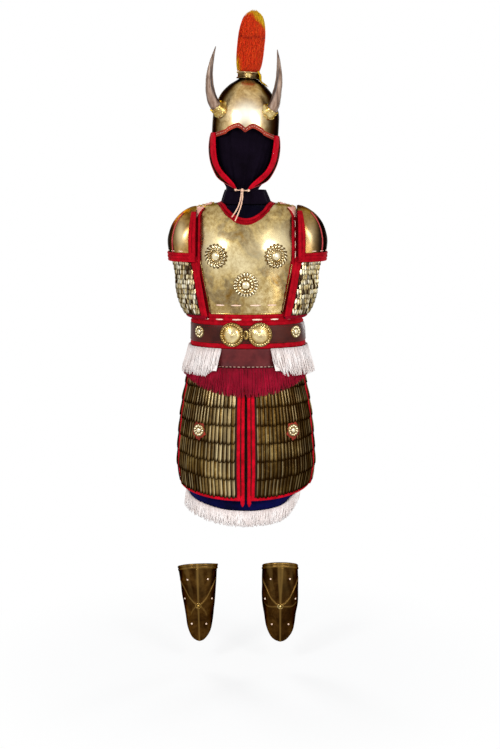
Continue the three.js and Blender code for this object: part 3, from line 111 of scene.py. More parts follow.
def whitened(owner, kind, plain, colour, strength=None):
    """White to camera, glossy and transmission rays, and a plain shader to all others.
    The floor, a Material, is a little less white near its middle, where the object's shadow lies."""
    owner.use_nodes = True
    tree = owner.node_tree
    tree.nodes.clear()
    path = node(tree, "LightPath")
    share = path.outputs["Is Camera Ray"]
    for name in ("Is Glossy Ray", "Is Transmission Ray"):
        share = node(tree, "Math", {0: share, 1: path.outputs[name]}, operation="MAXIMUM").outputs[0]
    if kind == "Material":
        reach = node(tree, "VectorMath", {0: node(tree, "TexCoord").outputs["Object"]}, operation="LENGTH")
        near = node(tree, "MapRange", {"Value": reach.outputs["Value"], "From Min": 1.1, "From Max": 1.45,
                                       "To Min": 0.75, "To Max": 1.0}, interpolation_type="SMOOTHSTEP")
        share = node(tree, "Math", {0: share, 1: near.outputs[0]}, operation="MULTIPLY").outputs[0]
    plain = node(tree, plain, {0: colour} if strength is None else {0: colour, 1: strength})
    white = node(tree, "Emission" if kind == "Material" else "Background", {0: (1, 1, 1, 1)})
    mixed = node(tree, "MixShader", {0: share, 1: plain.outputs[0], 2: white.outputs[0]})
    node(tree, "Output" + kind, {0: mixed.outputs[0]})


scene.world = bpy.data.worlds.new("world")
whitened(scene.world, "World", "Background", (0.95, 0.97, 1, 1), 0.5)

FLOOR_HALF, FLOOR_HEIGHT = 14, -1.06
floor_mesh = bpy.data.meshes.new("floor")
corners = [(x * FLOOR_HALF, y * FLOOR_HALF, FLOOR_HEIGHT) for x, y in ((-1, -1), (1, -1), (1, 1), (-1, 1))]
floor_mesh.from_pydata(corners, [], [(0, 1, 2, 3)])
floor_mesh.materials.append(bpy.data.materials.new("floor"))
whitened(floor_mesh.materials[0], "Material", "BsdfDiffuse", (0.8, 0.8, 0.8, 1))
added("floor", floor_mesh)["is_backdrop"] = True


# ---- Materials
def tint(red, green, blue):
    """A colour from its values on screen, 0 to 255"""
    return tuple((c / 255 / 12.92) if c < 11 else ((c / 255 + 0.055) / 1.055) ** 2.4 for c in (red, green, blue))


class Mat:
    """A principled material, built in a few calls"""

    def __init__(self, name, **sockets):
        self.m = bpy.data.materials.new(name)
        self.m.use_nodes = True
        self.principled = self.m.node_tree.nodes["Principled BSDF"]
        for key, value in sockets.items():
            self.principled.inputs[key.replace("_", " ")].default_value = value
        self.coords = self.add("TexCoord").outputs["Object"]

    def add(self, kind, inputs=(), **settings):
        return node(self.m.node_tree, kind, inputs, **settings)

    def noise(self, scale, detail=4, rough=0.55, by=None, warp=0):
        """Noise; by stretches it"""
        where = self.add("Mapping", {0: self.coords, "Scale": by}).outputs[0] if by else self.coords
        return self.add("TexNoise", {"Vector": where, "Scale": scale, "Detail": detail, "Roughness": rough,
                                     "Distortion": warp}).outputs[0]

    def cells(self, scale, feature="F1"):
        return self.add("TexVoronoi", {"Vector": self.coords, "Scale": scale}, feature=feature).outputs[0]

    def wave(self, scale, direction, warp, detail=1):
        return self.add("TexWave", {"Vector": self.coords, "Scale": scale, "Distortion": warp, "Detail": detail},
                        bands_direction=direction).outputs[1]

    def shade(self, channel="Red"):
        colour = self.add("Attribute", attribute_name="shade").outputs["Color"]
        return self.add("SeparateColor", {0: colour}).outputs[channel]

    def ramp(self, value, *stops):
        """A ramp of stops, each a place and a colour on screen"""
        n = self.add("ValToRGB", {0: value})
        elements = n.color_ramp.elements
        while len(elements) < len(stops):
            elements.new(0.5)
        for k, (at, *colour) in enumerate(stops):
            elements[k].position = at
            elements[k].color = (*tint(*colour), 1)
        return n.outputs[0]

    def mix(self, factor, a, b, how="MIX"):
        a, b = ((*v, 1) if hasattr(v, "__len__") else v for v in (a, b))
        return self.add("Mix", {0: factor, 6: a, 7: b}, data_type="RGBA", blend_type=how).outputs[2]

    def between(self, value, low, high, a, b):
        """From a to b while the value goes from low to high"""
        return self.mix(self.ramp(value, (low, 0, 0, 0), (high, 255, 255, 255)), a, b)

    def dim(self, colour, by):
        return self.mix(1.0, colour, by, "MULTIPLY")

    def done(self, dark, colour, *bumps, rough=None):
        """The shade's red, which carries painted shade as well as random tone, takes the colour to the dark one. A bump
        is a height, a strength and mm; rough is a value with the roughness at 0 and at 1."""
        links, inputs = self.m.node_tree.links, self.principled.inputs
        links.new(colour if dark is None else self.mix(self.shade(), dark, colour), inputs["Base Color"])
        if rough:
            spread = self.add("MapRange", {0: rough[0], "To Min": rough[1], "To Max": rough[2]})
            links.new(spread.outputs[0], inputs["Roughness"])
        last = {}
        for height, strength, distance in bumps:
            bump = self.add("Bump", {"Height": height, "Strength": strength, "Distance": distance * MM, **last})
            last = {"Normal": bump.outputs[0]}
        links.new(bump.outputs[0], inputs["Normal"])
        return self.m


GRAIN = 90


def bronze(name, size, low, high, hammer, dark, light, *stops):
    """Patched metal. The shade's green takes it to the light colour, a painted highlight."""
    m = Mat(name, Metallic=1.0, Specular_Tint=(0.27, 0.25, 0.22, 1))
    fine = m.noise(GRAIN, 5, 0.7)
    colour = m.ramp(m.noise(size, 6, 0.62, warp=0.6), *stops)
    colour = m.between(fine, 0.33, 0.6, m.dim(colour, (0.56, 0.48, 0.36)), colour)
    colour = m.mix(m.shade("Green"), colour, tint(*light))
    return m.done(tint(*dark), colour, (m.noise(size * 3.2, 2, 0.4), hammer, 1.6), (fine, 0.14, 0.25),
                  (m.cells(GRAIN * 1.4), 0.05, 0.2), rough=(m.noise(size * 2.3, 5, 0.6), low, high))


plate_bronze = bronze("plate_bronze", 9, 0.18, 0.36, 0.25, (84, 52, 16), (240, 224, 180), (0.24, 96, 62, 20),
                      (0.36, 158, 124, 62), (0.44, 160, 142, 104), (0.52, 206, 180, 118), (0.66, 238, 220, 170))
guard_bronze = bronze("guard_bronze", 12, 0.24, 0.4, 0.25, (42, 32, 25), (240, 220, 170), (0.25, 74, 40, 10),
                      (0.42, 134, 98, 44), (0.6, 186, 148, 84), (0.75, 220, 190, 130))
helmet_bronze = bronze("helmet_bronze", 8, 0.24, 0.36, 0.14, (42, 27, 17), (255, 250, 232), (0.25, 132, 84, 28),
                       (0.45, 190, 152, 86), (0.65, 232, 206, 150))
scale_bronze = bronze("scale_bronze", 16, 0.2, 0.4, 0.3, (26, 12, 2), (226, 206, 156), (0.25, 48, 28, 6),
                      (0.42, 92, 66, 26), (0.58, 132, 102, 48), (0.75, 186, 160, 98))
arm_bronze = bronze("arm_bronze", 40, 0.16, 0.36, 0.3, (48, 26, 8), (255, 250, 232), (0.3, 124, 92, 40),
                    (0.42, 210, 184, 124), (0.54, 248, 232, 182), (0.68, 255, 252, 228))
dark_bronze = bronze("dark_bronze", 14, 0.24, 0.42, 0.35, (20, 7, 1), (150, 118, 62), (0.25, 30, 14, 3),
                     (0.45, 56, 34, 11), (0.65, 88, 60, 24), (0.8, 118, 86, 40))
gold_bronze = bronze("gold_bronze", 30, 0.16, 0.3, 0.2, (74, 42, 8), (252, 240, 196), (0.25, 128, 92, 26),
                     (0.45, 190, 156, 84), (0.65, 238, 220, 160))
rosette_bronze = bronze("rosette_bronze", 34, 0.16, 0.32, 0.2, (66, 42, 12), (252, 242, 208), (0.25, 112, 82, 32),
                        (0.45, 176, 148, 90), (0.65, 236, 218, 168))


def felt(name, colour, dark):
    colour, dark = tint(*colour), tint(*dark)
    m = Mat(name, Roughness=0.92, Sheen_Weight=0.04, Sheen_Roughness=0.5, Specular_IOR_Level=0.06,
            Sheen_Tint=(*colour, 1))
    blotch = m.noise(38, 4, 0.6)
    fibre = m.noise(420, 6, 0.75, (1, 1, 0.45), 1.2)
    base = m.between(blotch, 0.3, 0.7, dark, colour)
    base = m.between(fibre, 0.3, 0.5, m.dim(base, (0.55, 0.4, 0.5)), base)
    return m.done(m.dim(base, (0.2, 0.08, 0.12)), base, (fibre, 0.5, 0.5), (blotch, 0.25, 1.5))


def wool(name, colour, dark, deep):
    m = Mat(name, Roughness=0.95, Sheen_Weight=0.04, Sheen_Roughness=0.6, Specular_IOR_Level=0.06)
    base = m.between(m.noise(24, 4, 0.6), 0.35, 0.65, tint(*dark), tint(*colour))
    return m.done(m.dim(base, deep), base, (m.wave(140, "DIAGONAL", 4, 2), 0.35, 0.4), (m.noise(260), 0.3, 0.4))


def cloth(name, colour, fold):
    m = Mat(name, Roughness=0.88, Sheen_Weight=0.03, Sheen_Roughness=0.4, Specular_IOR_Level=0.05,
            Sheen_Tint=(0.2, 0.2, 0.5, 1))
    patch = m.noise(14, 4, 0.6)
    return m.done(tint(4, 2, 9), m.between(patch, 0.3, 0.7, tint(*fold), tint(*colour)),
                  (m.wave(300, "X", 0.6), 0.25, 0.2), (m.wave(300, "Z", 0.6), 0.25, 0.2), (patch, 0.2, 2))


def leather(name, colour, dark, low, high):
    m = Mat(name, Specular_IOR_Level=0.14)
    patch = m.noise(22, 5, 0.6)
    return m.done(None, m.between(patch, 0.3, 0.68, tint(*dark), tint(*colour)),
                  (m.cells(190, "DISTANCE_TO_EDGE"), 0.22, 0.25), (m.noise(60, 3), 0.2, 0.8), rough=(patch, low, high))


def hair(name):
    """Red hair, which the shade's green turns yellow"""
    m = Mat(name, Roughness=0.7, Sheen_Weight=0.04, Specular_IOR_Level=0.12)
    strand = m.noise(300, 4, 0.6, (1, 1, 0.08))
    red = m.between(strand, 0.3, 0.7, tint(232, 34, 3), tint(255, 92, 26))
    yellow = m.between(strand, 0.3, 0.7, tint(232, 170, 8), tint(255, 226, 40))
    base = m.mix(m.shade("Green"), red, yellow)
    return m.done(m.dim(base, (0.3, 0.08, 0.1)), base, (strand, 0.4, 0.4))


def horn(name):
    m = Mat(name, Specular_IOR_Level=0.25)
    grain = m.noise(120, 6, 0.65, (1, 1, 0.1), 0.4)
    base = m.ramp(grain, (0.28, 78, 54, 40), (0.45, 146, 120, 102), (0.7, 208, 184, 166))
    base = m.between(m.noise(12, 4, 0.6), 0.4, 0.7, m.dim(base, (0.7, 0.62, 0.56)), base)
    return m.done(tint(34, 14, 12), base, (grain, 0.4, 0.5), (m.noise(30, 2, by=(1, 1, 0.3)), 0.25, 1.2),
                  rough=(grain, 0.3, 0.5))


red_felt = felt("red_felt", (208, 10, 36), (156, 2, 18))
deep_felt = felt("deep_felt", (184, 10, 30), (132, 4, 16))
maroon_wool = felt("maroon_wool", (150, 6, 34), (104, 2, 18))
pink_cord = felt("pink_cord", (206, 92, 88), (160, 44, 50))
white_wool = wool("white_wool", (252, 246, 243), (240, 228, 222), (0.42, 0.33, 0.33))
fringe_maroon = wool("fringe_maroon", (168, 8, 46), (128, 2, 30), (0.3, 0.14, 0.2))
thread = wool("thread", (250, 226, 204), (230, 190, 164), (0.5, 0.38, 0.34))
navy_cloth = cloth("navy_cloth", (12, 14, 80), (4, 5, 36))
face_cloth = cloth("face_cloth", (15, 7, 21), (3, 0, 4))
belt_leather = leather("belt_leather", (74, 25, 14), (40, 9, 5), 0.3, 0.5)
band_leather = leather("band_leather", (104, 36, 37), (60, 16, 19), 0.38, 0.6)
brick_leather = leather("brick_leather", (176, 62, 38), (116, 30, 20), 0.42, 0.6)
skirt_leather = leather("skirt_leather", (44, 20, 10), (20, 8, 4), 0.5, 0.7)
patch_leather = leather("patch_leather", (160, 52, 34), (84, 20, 14), 0.5, 0.7)
pale_leather = leather("pale_leather", (238, 184, 166), (206, 136, 120), 0.5, 0.7)
thong_leather = leather("thong_leather", (244, 208, 180), (218, 168, 140), 0.5, 0.65)
plume_hair = hair("plume_hair")
horn_bone = horn("horn_bone")


# ---- The part's forms, in millimetres
def table(rows):
    """Rows on a smooth curve: the row at a place, and the place where the first column reaches a value"""
    rows = np.array(rows, float)
    last = len(rows) - 1

    def at(place):
        place = np.asarray(place, float)
        i = np.clip(np.floor(place).astype(int), 0, last - 1)
        t = (place - i)[..., None]
        a, b, c, d = (rows[np.clip(i + k, 0, last)] for k in (-1, 0, 1, 2))
        m, n = (c - a) / 2, (d - b) / 2
        return b * (2 * t**3 - 3 * t**2 + 1) + m * (t**3 - 2 * t**2 + t) + c * (3 * t**2 - 2 * t**3) + n * (t**3 - t**2)

    spread = np.linspace(0, last, 4001)
    firsts = at(spread)[:, 0]
    return at, lambda value: np.interp(value, firsts, spread)


# Rings: height, half-width, depth in front and depth behind
body_at, body_place = table([
    [-615.6, 183, 128, 118], [-464.4, 182.6, 127.78, 117.72], [-248.4, 173.4, 122.72, 111.28], [0, 163, 117, 104],
    [130.08, 166.26, 121.68, 108.16], [199.95, 168.87, 125.78, 112.32], [260.16, 167.89, 124.6, 112.32],
    [309.96, 162.19, 112.32, 107.12], [345.08, 152.41, 93.6, 95.68], [365.93, 143.44, 77.81, 80.08],
    [378.28, 125.51, 66.69, 66.56], [386, 58.68, 46.8, 43.68]])
skirt_at, skirt_place = table([
    [-518.01, 206.95, 149.5, 137.5], [-389.94, 209, 151, 139], [-249.87, 197.52, 142.6, 130.6],
    [-153.83, 180.3, 130, 118], [-101.8, 168, 121, 109]])
arm_at, arm_place = table([
    [47, 172.78, 131, 125], [59.95, 185.5, 129.69, 123.75], [87.7, 199.28, 127.07, 121.25],
    [130.25, 209.88, 121.83, 116.25], [176.5, 212, 113.97, 108.75], [232, 223.72, 104.8, 100]])
head_at, head_place = table([
    [431.26, 58.48, 60.72, 51.04], [470.56, 70.52, 82.8, 65.12], [526.71, 83.42, 92, 80.96],
    [616.55, 86, 90.16, 88], [667.08, 72.24, 75.44, 75.68], [697.96, 44.72, 47.84, 49.28], [712, 17.2, 18.4, 17.6]])
# Height, reach and depth
guard_at, guard_place = table([
    [216, 82.72, 93], [242.08, 85.36, 93], [274.68, 88, 93], [300.76, 83.6, 90.21], [326.84, 73.04, 81.84],
    [349.66, 56.32, 66.96], [365.96, 36.96, 48.36], [374.92, 19.36, 27.9], [379, 2.64, 3.72]])
# Height and share of the helmet's widest ring
helmet_at, helmet_place = table([
    [574, 1], [630.73, 1], [654.52, 0.985], [680.14, 0.92], [711.25, 0.78], [735.04, 0.57], [748.765, 0.38],
    [757, 0.26]])
# Height, half-width, depth, how far in the inner edge is, and the turn of the outer edge
cheek_at, _ = table([
    [433, 34.24, 109.76, 19.26, 0.63], [445.83, 53.5, 110.88, 26.75, 0.94], [463.48, 75.97, 112, 43.87, 1.18],
    [485.93, 93.09, 112, 66.34, 1.34], [514.8, 102.72, 112, 80.25, 1.46], [546.88, 107, 112, 85.6, 1.52],
    [575.76, 105.93, 112, 87.74, 1.57], [593.4, 102.19, 109.76, 88.81, 1.57]])
# Distance from the middle, and height
brow_at, brow_place = table([[0, 611], [13.5, 621.4], [27, 624], [51, 612], [58, 605], [87, 594]])
# Number, place, and share of the thickness at the root
horn_at, _ = table([
    [0, 52.4, -55.4, 646.7, 1.02], [1, 76.58, -74, 659.72, 1], [2, 96.48, -85.16, 680.18, 0.93],
    [3, 108.2, -90.74, 717.38, 0.76], [4, 110.99, -89.81, 760.16, 0.56], [5, 105.41, -85.16, 804.8, 0.32],
    [6, 97.04, -79.58, 842, 0.06]])
# Share of the height, and share of the width
plume_at, plume_place = table([
    [0, 0.84], [0.2, 0.97], [0.48, 1], [0.66, 0.96], [0.82, 0.82], [0.93, 0.58], [1, 0.16]])
BODY_TOP = 11  # last place of the body's table
ROUNDNESS = 2.2


def points(x, y, z):
    return np.stack(np.broadcast_arrays(x, y, z), -1).astype(float)


def smooth(a, b, x):
    t = np.clip((x - a) / (b - a), 0, 1)
    return t * t * (3 - 2 * t)


def bell(value, middle, width, power=2):
    return np.exp(-(((value - middle) / width) ** power))


def unit(v):
    return v / (np.linalg.norm(v, axis=-1, keepdims=True) + 1e-12)


def section(turn, half, front, back):
    """A ring rounder than an ellipse, from the middle of the front towards the right"""
    x, y = (np.sign(v) * np.abs(v) ** (2 / ROUNDNESS) for v in (np.sin(turn), np.cos(turn)))
    return half * x, -np.where(np.cos(turn) > 0, front, back) * y


def side_turn(side, half):
    """The turn at which a ring of that half-width reaches a distance to the side"""
    return np.sign(side) * np.arcsin(np.minimum(np.abs(side) / half, 1) ** (ROUNDNESS / 2))


def ring_at(at, turn, place):
    z, half, front, back = np.moveaxis(at(place), -1, 0)
    x, y = section(turn, half, front, back)
    return x, y, z


def lifted(surface, u, v, lift):
    """Points over a surface, and the normals there"""
    u, v = np.broadcast_arrays(np.asarray(u, float), np.asarray(v, float))
    e = 1e-3
    along = surface(u + e, v) - surface(u - e, v)
    up = surface(u, v + e) - surface(u, v - e)
    n = unit(np.cross(along, up))
    return surface(u, v) + n * np.broadcast_to(lift, u.shape)[..., None], n


def wider(x, z):
    """The set bulges a little more on its right, and the tunic's foot less there and more on the left"""
    more = (5.5 + 7 * smooth(42, 0, z)) * smooth(70, 160, x) * smooth(-130, -70, z)
    left_foot = 8 * smooth(120, 180, -x) * smooth(-490, -560, z)
    return more - left_foot - 20 * smooth(100, 185, x) * (1 - smooth(-520, -440, z))


def body(turn, place):
    x, y, z = ring_at(body_at, turn, place)
    swell = 7 * np.maximum(np.cos(turn), 0) * bell(np.abs(x), 62, 46) * bell(z, 262, 56)
    return points(x + wider(x, z), y - swell, z)


def body_z(turn, height):
    return body(turn, body_place(height))


def body_turn(side, z):
    return side_turn(side, body_at(body_place(z))[..., 1])


def body_front(side, z, lift):
    return lifted(body, body_turn(side, z), body_place(z), lift)


SKIRT_TOP = 101.8  # below the belt


def skirt_bottom(turn):
    return 502 - 34 * (1 - np.maximum(np.cos(turn), 0) ** 1.2)


def skirt_on(narrow):
    """The skirt, with its foot narrower by a share"""

    def surface(turn, share):
        z = -skirt_bottom(turn) + (skirt_bottom(turn) - SKIRT_TOP) * share
        x, y, _ = ring_at(skirt_at, turn, skirt_place(z))
        return points(x * (1 - narrow * (1 - smooth(-500, -400, z))), y, z)

    return surface


GUARD_MIDDLE = 150
HELMET_HALF, HELMET_FRONT, HELMET_BACK = 100, 113, 116
RIM_SIDE, RIM_HEIGHT = 87, 594


def helmet(turn, place):
    z, wide = np.moveaxis(helmet_at(place), -1, 0)
    x, y = section(turn, wide * HELMET_HALF, wide * HELMET_FRONT, wide * HELMET_BACK)
    return points(x, y, z)


def rim_height(turn):
    x = np.abs(section(turn, HELMET_HALF, HELMET_FRONT, HELMET_BACK)[0])
    front = np.where(x >= RIM_SIDE, RIM_HEIGHT, brow_at(brow_place(x))[..., 1])
    return np.where(np.cos(turn) > 0, front, RIM_HEIGHT - 20 * np.minimum(-np.cos(turn) * 1.4, 1))


def cheek(share, place):
    z, half, deep, inner, end = np.moveaxis(cheek_at(place), -1, 0)
    start = side_turn(inner, half)
    x, y = section(start + (end - start) * share, half, deep, deep)
    return points(x + 9 * smooth(0.15, 0.8, share) * bell(z, 454, 20), y, z)


LEAN, LEAN_HEIGHT = math.radians(3), 640


def leaning(p):
    """The whole head leans about the middle of the helmet"""
    c, s = math.cos(LEAN), math.sin(LEAN)
    x, z = p[..., 0], p[..., 2] - LEAN_HEIGHT
    return np.stack([x * c + z * s, p[..., 1], z * c - x * s + LEAN_HEIGHT], -1)


# ---- Meshes
def red_green(shade, count):
    """A shade for each point as red and green. A single row is red alone."""
    shade = np.asarray(shade, float)
    return shade if shade.ndim == 2 else np.stack([np.broadcast_to(shade, count), np.zeros(count)], -1)


def piece(name, verts, faces, material, rides, nodes=(), shade=1.0, way=1, lean=False, sharp=None):
    """A mesh in millimetres. way -1 mirrors it to the left, and sharp is the angle of sharp edges."""
    verts = np.array(verts, float).reshape(-1, 3)
    if way < 0:
        verts[:, 0] *= -1
        faces = [tuple(reversed(f)) for f in faces]
    if lean:
        verts = leaning(verts)
    mesh = bpy.data.meshes.new(name)
    mesh.from_pydata((verts * MM).tolist(), [], faces)
    made = added(name, mesh)
    mesh.materials.append(material)
    shade_on(mesh, red_green(shade, len(verts)))
    mesh.polygons.foreach_set("use_smooth", [True] * len(mesh.polygons))
    if sharp:
        mesh.set_sharp_from_angle(angle=math.radians(sharp))
    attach(made, rides)
    if nodes:
        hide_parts(*nodes)
    return made


def shade_on(mesh, shade):
    layer = mesh.color_attributes.get("shade") or mesh.color_attributes.new("shade", "FLOAT_COLOR", "POINT")
    layer.data.foreach_set("color", np.concatenate([shade, np.ones_like(shade)], -1).reshape(-1))


def sheet_faces(rows, columns, wraps=False, start=0, flip=False):
    j, i = np.meshgrid(np.arange(rows - 1), np.arange(columns if wraps else columns - 1), indexing="ij")
    k = (i + 1) % columns
    f = np.stack([j * columns + i, j * columns + k, (j + 1) * columns + k, (j + 1) * columns + i], -1)
    f = f.reshape(-1, 4) + start
    return (f[:, ::-1] if flip else f).tolist()


def shut(rows, columns, wraps=False):
    """The faces of a closed skin: a front, a back after it, and the edges between them"""
    n = rows * columns
    faces = sheet_faces(rows, columns, wraps) + sheet_faces(rows, columns, wraps, n, True)
    top = (rows - 1) * columns
    for i in range(columns if wraps else columns - 1):
        k = (i + 1) % columns
        faces += [(i, n + i, n + k, k), (top + i, top + k, n + top + k, n + top + i)]
    for j in range(0 if wraps else rows - 1):
        a, b = j * columns, (j + 1) * columns
        c, d = a + columns - 1, b + columns - 1
        faces += [(a, b, n + b, n + a), (c, n + c, n + d, d)]
    return faces


def shell(surface, us, vs, low, high, wraps=False):
    """A closed skin between two lifts of a surface"""
    u, v = np.meshgrid(np.asarray(us, float), np.asarray(vs, float))
    sides = [lifted(surface, u, v, lift)[0].reshape(-1, 3) for lift in (high, low)]
    return np.concatenate(sides), shut(*u.shape, wraps)


def skin(name, surface, us, vs, low, high, material, rides, nodes=(), wraps=False, **more):
    return piece(name, *shell(surface, us, vs, low, high, wraps), material, rides, nodes, **more)


def tube(path, radius, sides=8, flat=1.0, normals=None, closed=False):
    """A tube along points. flat is its thickness along the normals as a share of its width."""
    path = np.asarray(path, float)
    n = len(path)
    radius = np.broadcast_to(radius, n)[:, None, None]
    along = unit(np.roll(path, -1, 0) - np.roll(path, 1, 0) if closed else np.gradient(path, axis=0))
    if normals is None:
        guess = np.array([0.0, -1, 0]) if abs(along[0][1]) < 0.9 else np.array([1.0, 0, 0])
        normals = np.empty_like(path)
        for k in range(n):
            guess = normals[k] = unit(guess - along[k] * guess.dot(along[k]))
    normals = unit(normals - along * np.sum(normals * along, -1, keepdims=True))
    across = np.cross(along, normals)
    turn = np.arange(sides) * TAU / sides
    ring = (path[:, None] + across[:, None] * (np.cos(turn)[None, :, None] * radius)
            + normals[:, None] * (np.sin(turn)[None, :, None] * radius * flat))
    faces = []
    for j in range(n if closed else n - 1):
        a, b = j * sides, ((j + 1) % n) * sides
        faces += [(a + i, b + i, b + (i + 1) % sides, a + (i + 1) % sides) for i in range(sides)]
    if not closed:
        faces += [tuple(range(sides)), tuple(reversed(range((n - 1) * sides, n * sides)))]
    return ring.reshape(-1, 3), faces


class Heap:
    """Several small forms gathered into one mesh"""

    def __init__(self):
        self.verts, self.faces, self.shades, self.count = [], [], [], 0

    def add(self, verts, faces, shade=1.0):
        verts = np.asarray(verts, float).reshape(-1, 3)
        self.verts.append(verts)
        self.faces += [tuple(k + self.count for k in f) for f in faces]
        self.shades.append(red_green(shade, len(verts)))
        self.count += len(verts)
        return self

    def skin(self, surface, us, vs, low, high, shade=1.0):
        return self.add(*shell(surface, us, vs, low, high), shade)

    def run(self, surface, us, vs, radius, lift, sides=8, flat=0.6, shade=1.0, closed=False):
        """A tube along a path of a surface's own places"""
        at, normals = lifted(surface, us, vs, lift)
        return self.add(*tube(at, radius, sides, flat, normals, closed), shade)

    def stitch(self, surface, start, end, count, fill, width, lift):
        """Running stitches along a line on a surface"""
        bulge = np.sin(np.linspace(0, math.pi, 7))
        for k in range(count):
            jitter = rng.normal(0, 0.02 / count, 2)
            ts = np.linspace((k + 0.5 - fill / 2) / count + jitter[0], (k + 0.5 + fill / 2) / count + jitter[1], 7)
            path = np.array(start) + (np.array(end) - np.array(start)) * ts[:, None]
            rise = lift + bulge * width * 0.35 - 0.3
            self.run(surface, path[:, 0], path[:, 1], width * (0.55 + 0.45 * bulge), rise, 6)
        return self

    def make(self, name, material, rides, **more):
        shade = np.concatenate(self.shades)
        return piece(name, np.concatenate(self.verts), self.faces, material, rides, shade=shade, **more)


def placed(verts, at, normal):
    """Puts points of the plane x, y with height z on a place, with its normal"""
    n = unit(np.asarray(normal, float))
    x = unit(np.cross([0.0, 0, 1], n))
    verts = np.asarray(verts, float)
    return np.asarray(at) + verts[:, :1] * x + verts[:, 1:2] * np.cross(n, x) + verts[:, 2:] * n


def ball(radius, at, normal, flat, segments, rows):
    """The outer half of a ball, flattened"""
    ts = np.linspace(0, math.pi / 2 * 0.96, rows)
    r = np.concatenate([[radius], radius * np.cos(ts)])[:, None]
    h = np.concatenate([[-1.0], radius * flat * np.sin(ts)])[:, None]
    turn = np.arange(segments) * TAU / segments
    verts = points(r * np.cos(turn), r * np.sin(turn), h).reshape(-1, 3)
    faces = sheet_faces(rows + 1, segments, True) + [tuple(range(rows * segments, (rows + 1) * segments))]
    return placed(verts, at, normal), faces


def loop_body(rings):
    """A closed ring-shaped body from rings of points, joined round both ways"""
    rings = np.array(rings, float)
    rows, columns = rings.shape[:2]
    faces = []
    for j in range(rows):
        a, b = j * columns, ((j + 1) % rows) * columns
        faces += [(a + i, a + (i + 1) % columns, b + (i + 1) % columns, b + i) for i in range(columns)]
    return rings.reshape(-1, 3), faces


def cut(target, *cutters, how="DIFFERENCE"):
    for cutter in cutters:
        m = target.modifiers.new("cut", "BOOLEAN")
        m.operation = how
        m.solver = "EXACT"
        m.object = cutter
        bpy.context.view_layer.update()
        new = bpy.data.meshes.new_from_object(target.evaluated_get(bpy.context.evaluated_depsgraph_get()))
        target.modifiers.clear()
        old, target.data = target.data, new
        bpy.data.meshes.remove(old)


def prism(name, outline, low, high, axis):
    """A closed prism of an outline along x, y or z, for cutting"""
    n = len(outline)
    verts = np.zeros((2 * n, 3))
    across = [k for k in range(3) if k != "xyz".index(axis)]
    verts[:, across] = np.concatenate([outline, outline])
    verts[:, "xyz".index(axis)] = np.repeat([low, high], n)
    faces = [tuple(range(n)), tuple(reversed(range(n, 2 * n)))]
    faces += [(i, n + i, n + (i + 1) % n, (i + 1) % n) for i in range(n)]
    mesh = bpy.data.meshes.new(name)
    mesh.from_pydata((verts * MM).tolist(), [], faces)
    b = bmesh.new()
    b.from_mesh(mesh)
    bmesh.ops.recalc_face_normals(b, faces=b.faces)
    b.to_mesh(mesh)
    b.free()
    return added(name, mesh)


def gone(*objects):
    for o in objects:
        bpy.data.objects.remove(o, do_unlink=True)


def as_sheet(obj, width, held, rests_on, **more):
    """Returns the object as it is"""
    return obj


def dents(u, v, seed, size, depth):
    """Shallow hammered unevenness"""
    g = np.random.default_rng(seed)
    h = np.zeros(np.broadcast(u, v).shape)
    for _ in range(14):
        a, b, p = g.uniform(3, 14), g.uniform(0.8, 3.2), g.uniform(0, TAU)
        h = h + np.sin(a * u * g.choice([-1, 1]) + b * v * size + p)
    return depth * h / 5


def tiles(surface, u0, u1, v0, v1, low, thick, dome, tip, corner, rows, skew):
    """Many small lapping plates on a surface, each from u0 to u1 and v0 to v1"""
    cols = 5
    s = np.linspace(0, 1, cols)[None, None, :]
    t = np.linspace(0, 1, rows)[None, :, None]
    u0, u1, v0, v1, low, tip, skew = (np.asarray(a, float).reshape(-1, 1, 1) for a in (u0, u1, v0, v1, low, tip, skew))
    u = u0 + (u1 - u0) * (s + 0 * t) + skew * (t - 0.5)
    v = v0 + (v1 - v0) * t + (v1 - v0) * corner * (np.abs(2 * s - 1) ** 3) * (1 - t) ** 3
    rise = dome * (1 - (2 * s - 1) ** 2) * (0.55 + 0.45 * np.sin(math.pi * np.minimum(t * 1.4 + 0.15, 1)))
    under = low + tip * (1 - t) + 0 * s
    n, each = len(u0), rows * cols
    sides = [lifted(surface, u, v, lift)[0].reshape(n, each, 3) for lift in (under + thick + rise, under)]
    faces = (np.array(shut(rows, cols))[None] + (np.arange(n) * 2 * each)[:, None, None]).reshape(-1, 4)
    # Painted shade: each plate darkens at its sides, at its foot and under the row lapping over its top, and its inner
    # side takes only 0.3 of that.
    edge = np.minimum(1 - np.abs(2 * s - 1) ** 4, np.minimum(t * 6, 1) + 0 * s) * np.clip((1.12 - t) * 5, 0.15, 1)
    shade = np.broadcast_to(edge, (n, rows, cols)).reshape(n, each)
    return np.stack(sides, 1).reshape(-1, 3), faces.tolist(), np.stack([shade, shade * 0.3], 1).reshape(-1)


def strand(heap, start, drop, out, width, curl, shade):
    """One hanging strand of wool"""
    t = np.linspace(0, 1, 7)[:, None]
    down, length = unit(drop), float(np.linalg.norm(drop))
    phase = rng.uniform(0, TAU)
    path = (start + down * (length * t) + np.cross(down, out) * (curl * np.sin(phase + t * 5.5) * t)
            + out * (curl * 0.5 * np.cos(phase + t * 4) * t))
    # Painted shade: each strand darkens towards its root; the shade argument gives the strand's own random tone.
    tone = np.repeat((0.7 + 0.3 * np.minimum(t[:, 0] * 3, 1)) * shade, 4)
    heap.add(*tube(path, width * (1 - 0.45 * t[:, 0] ** 2), 4, 0.7, np.broadcast_to(out, path.shape)), tone)


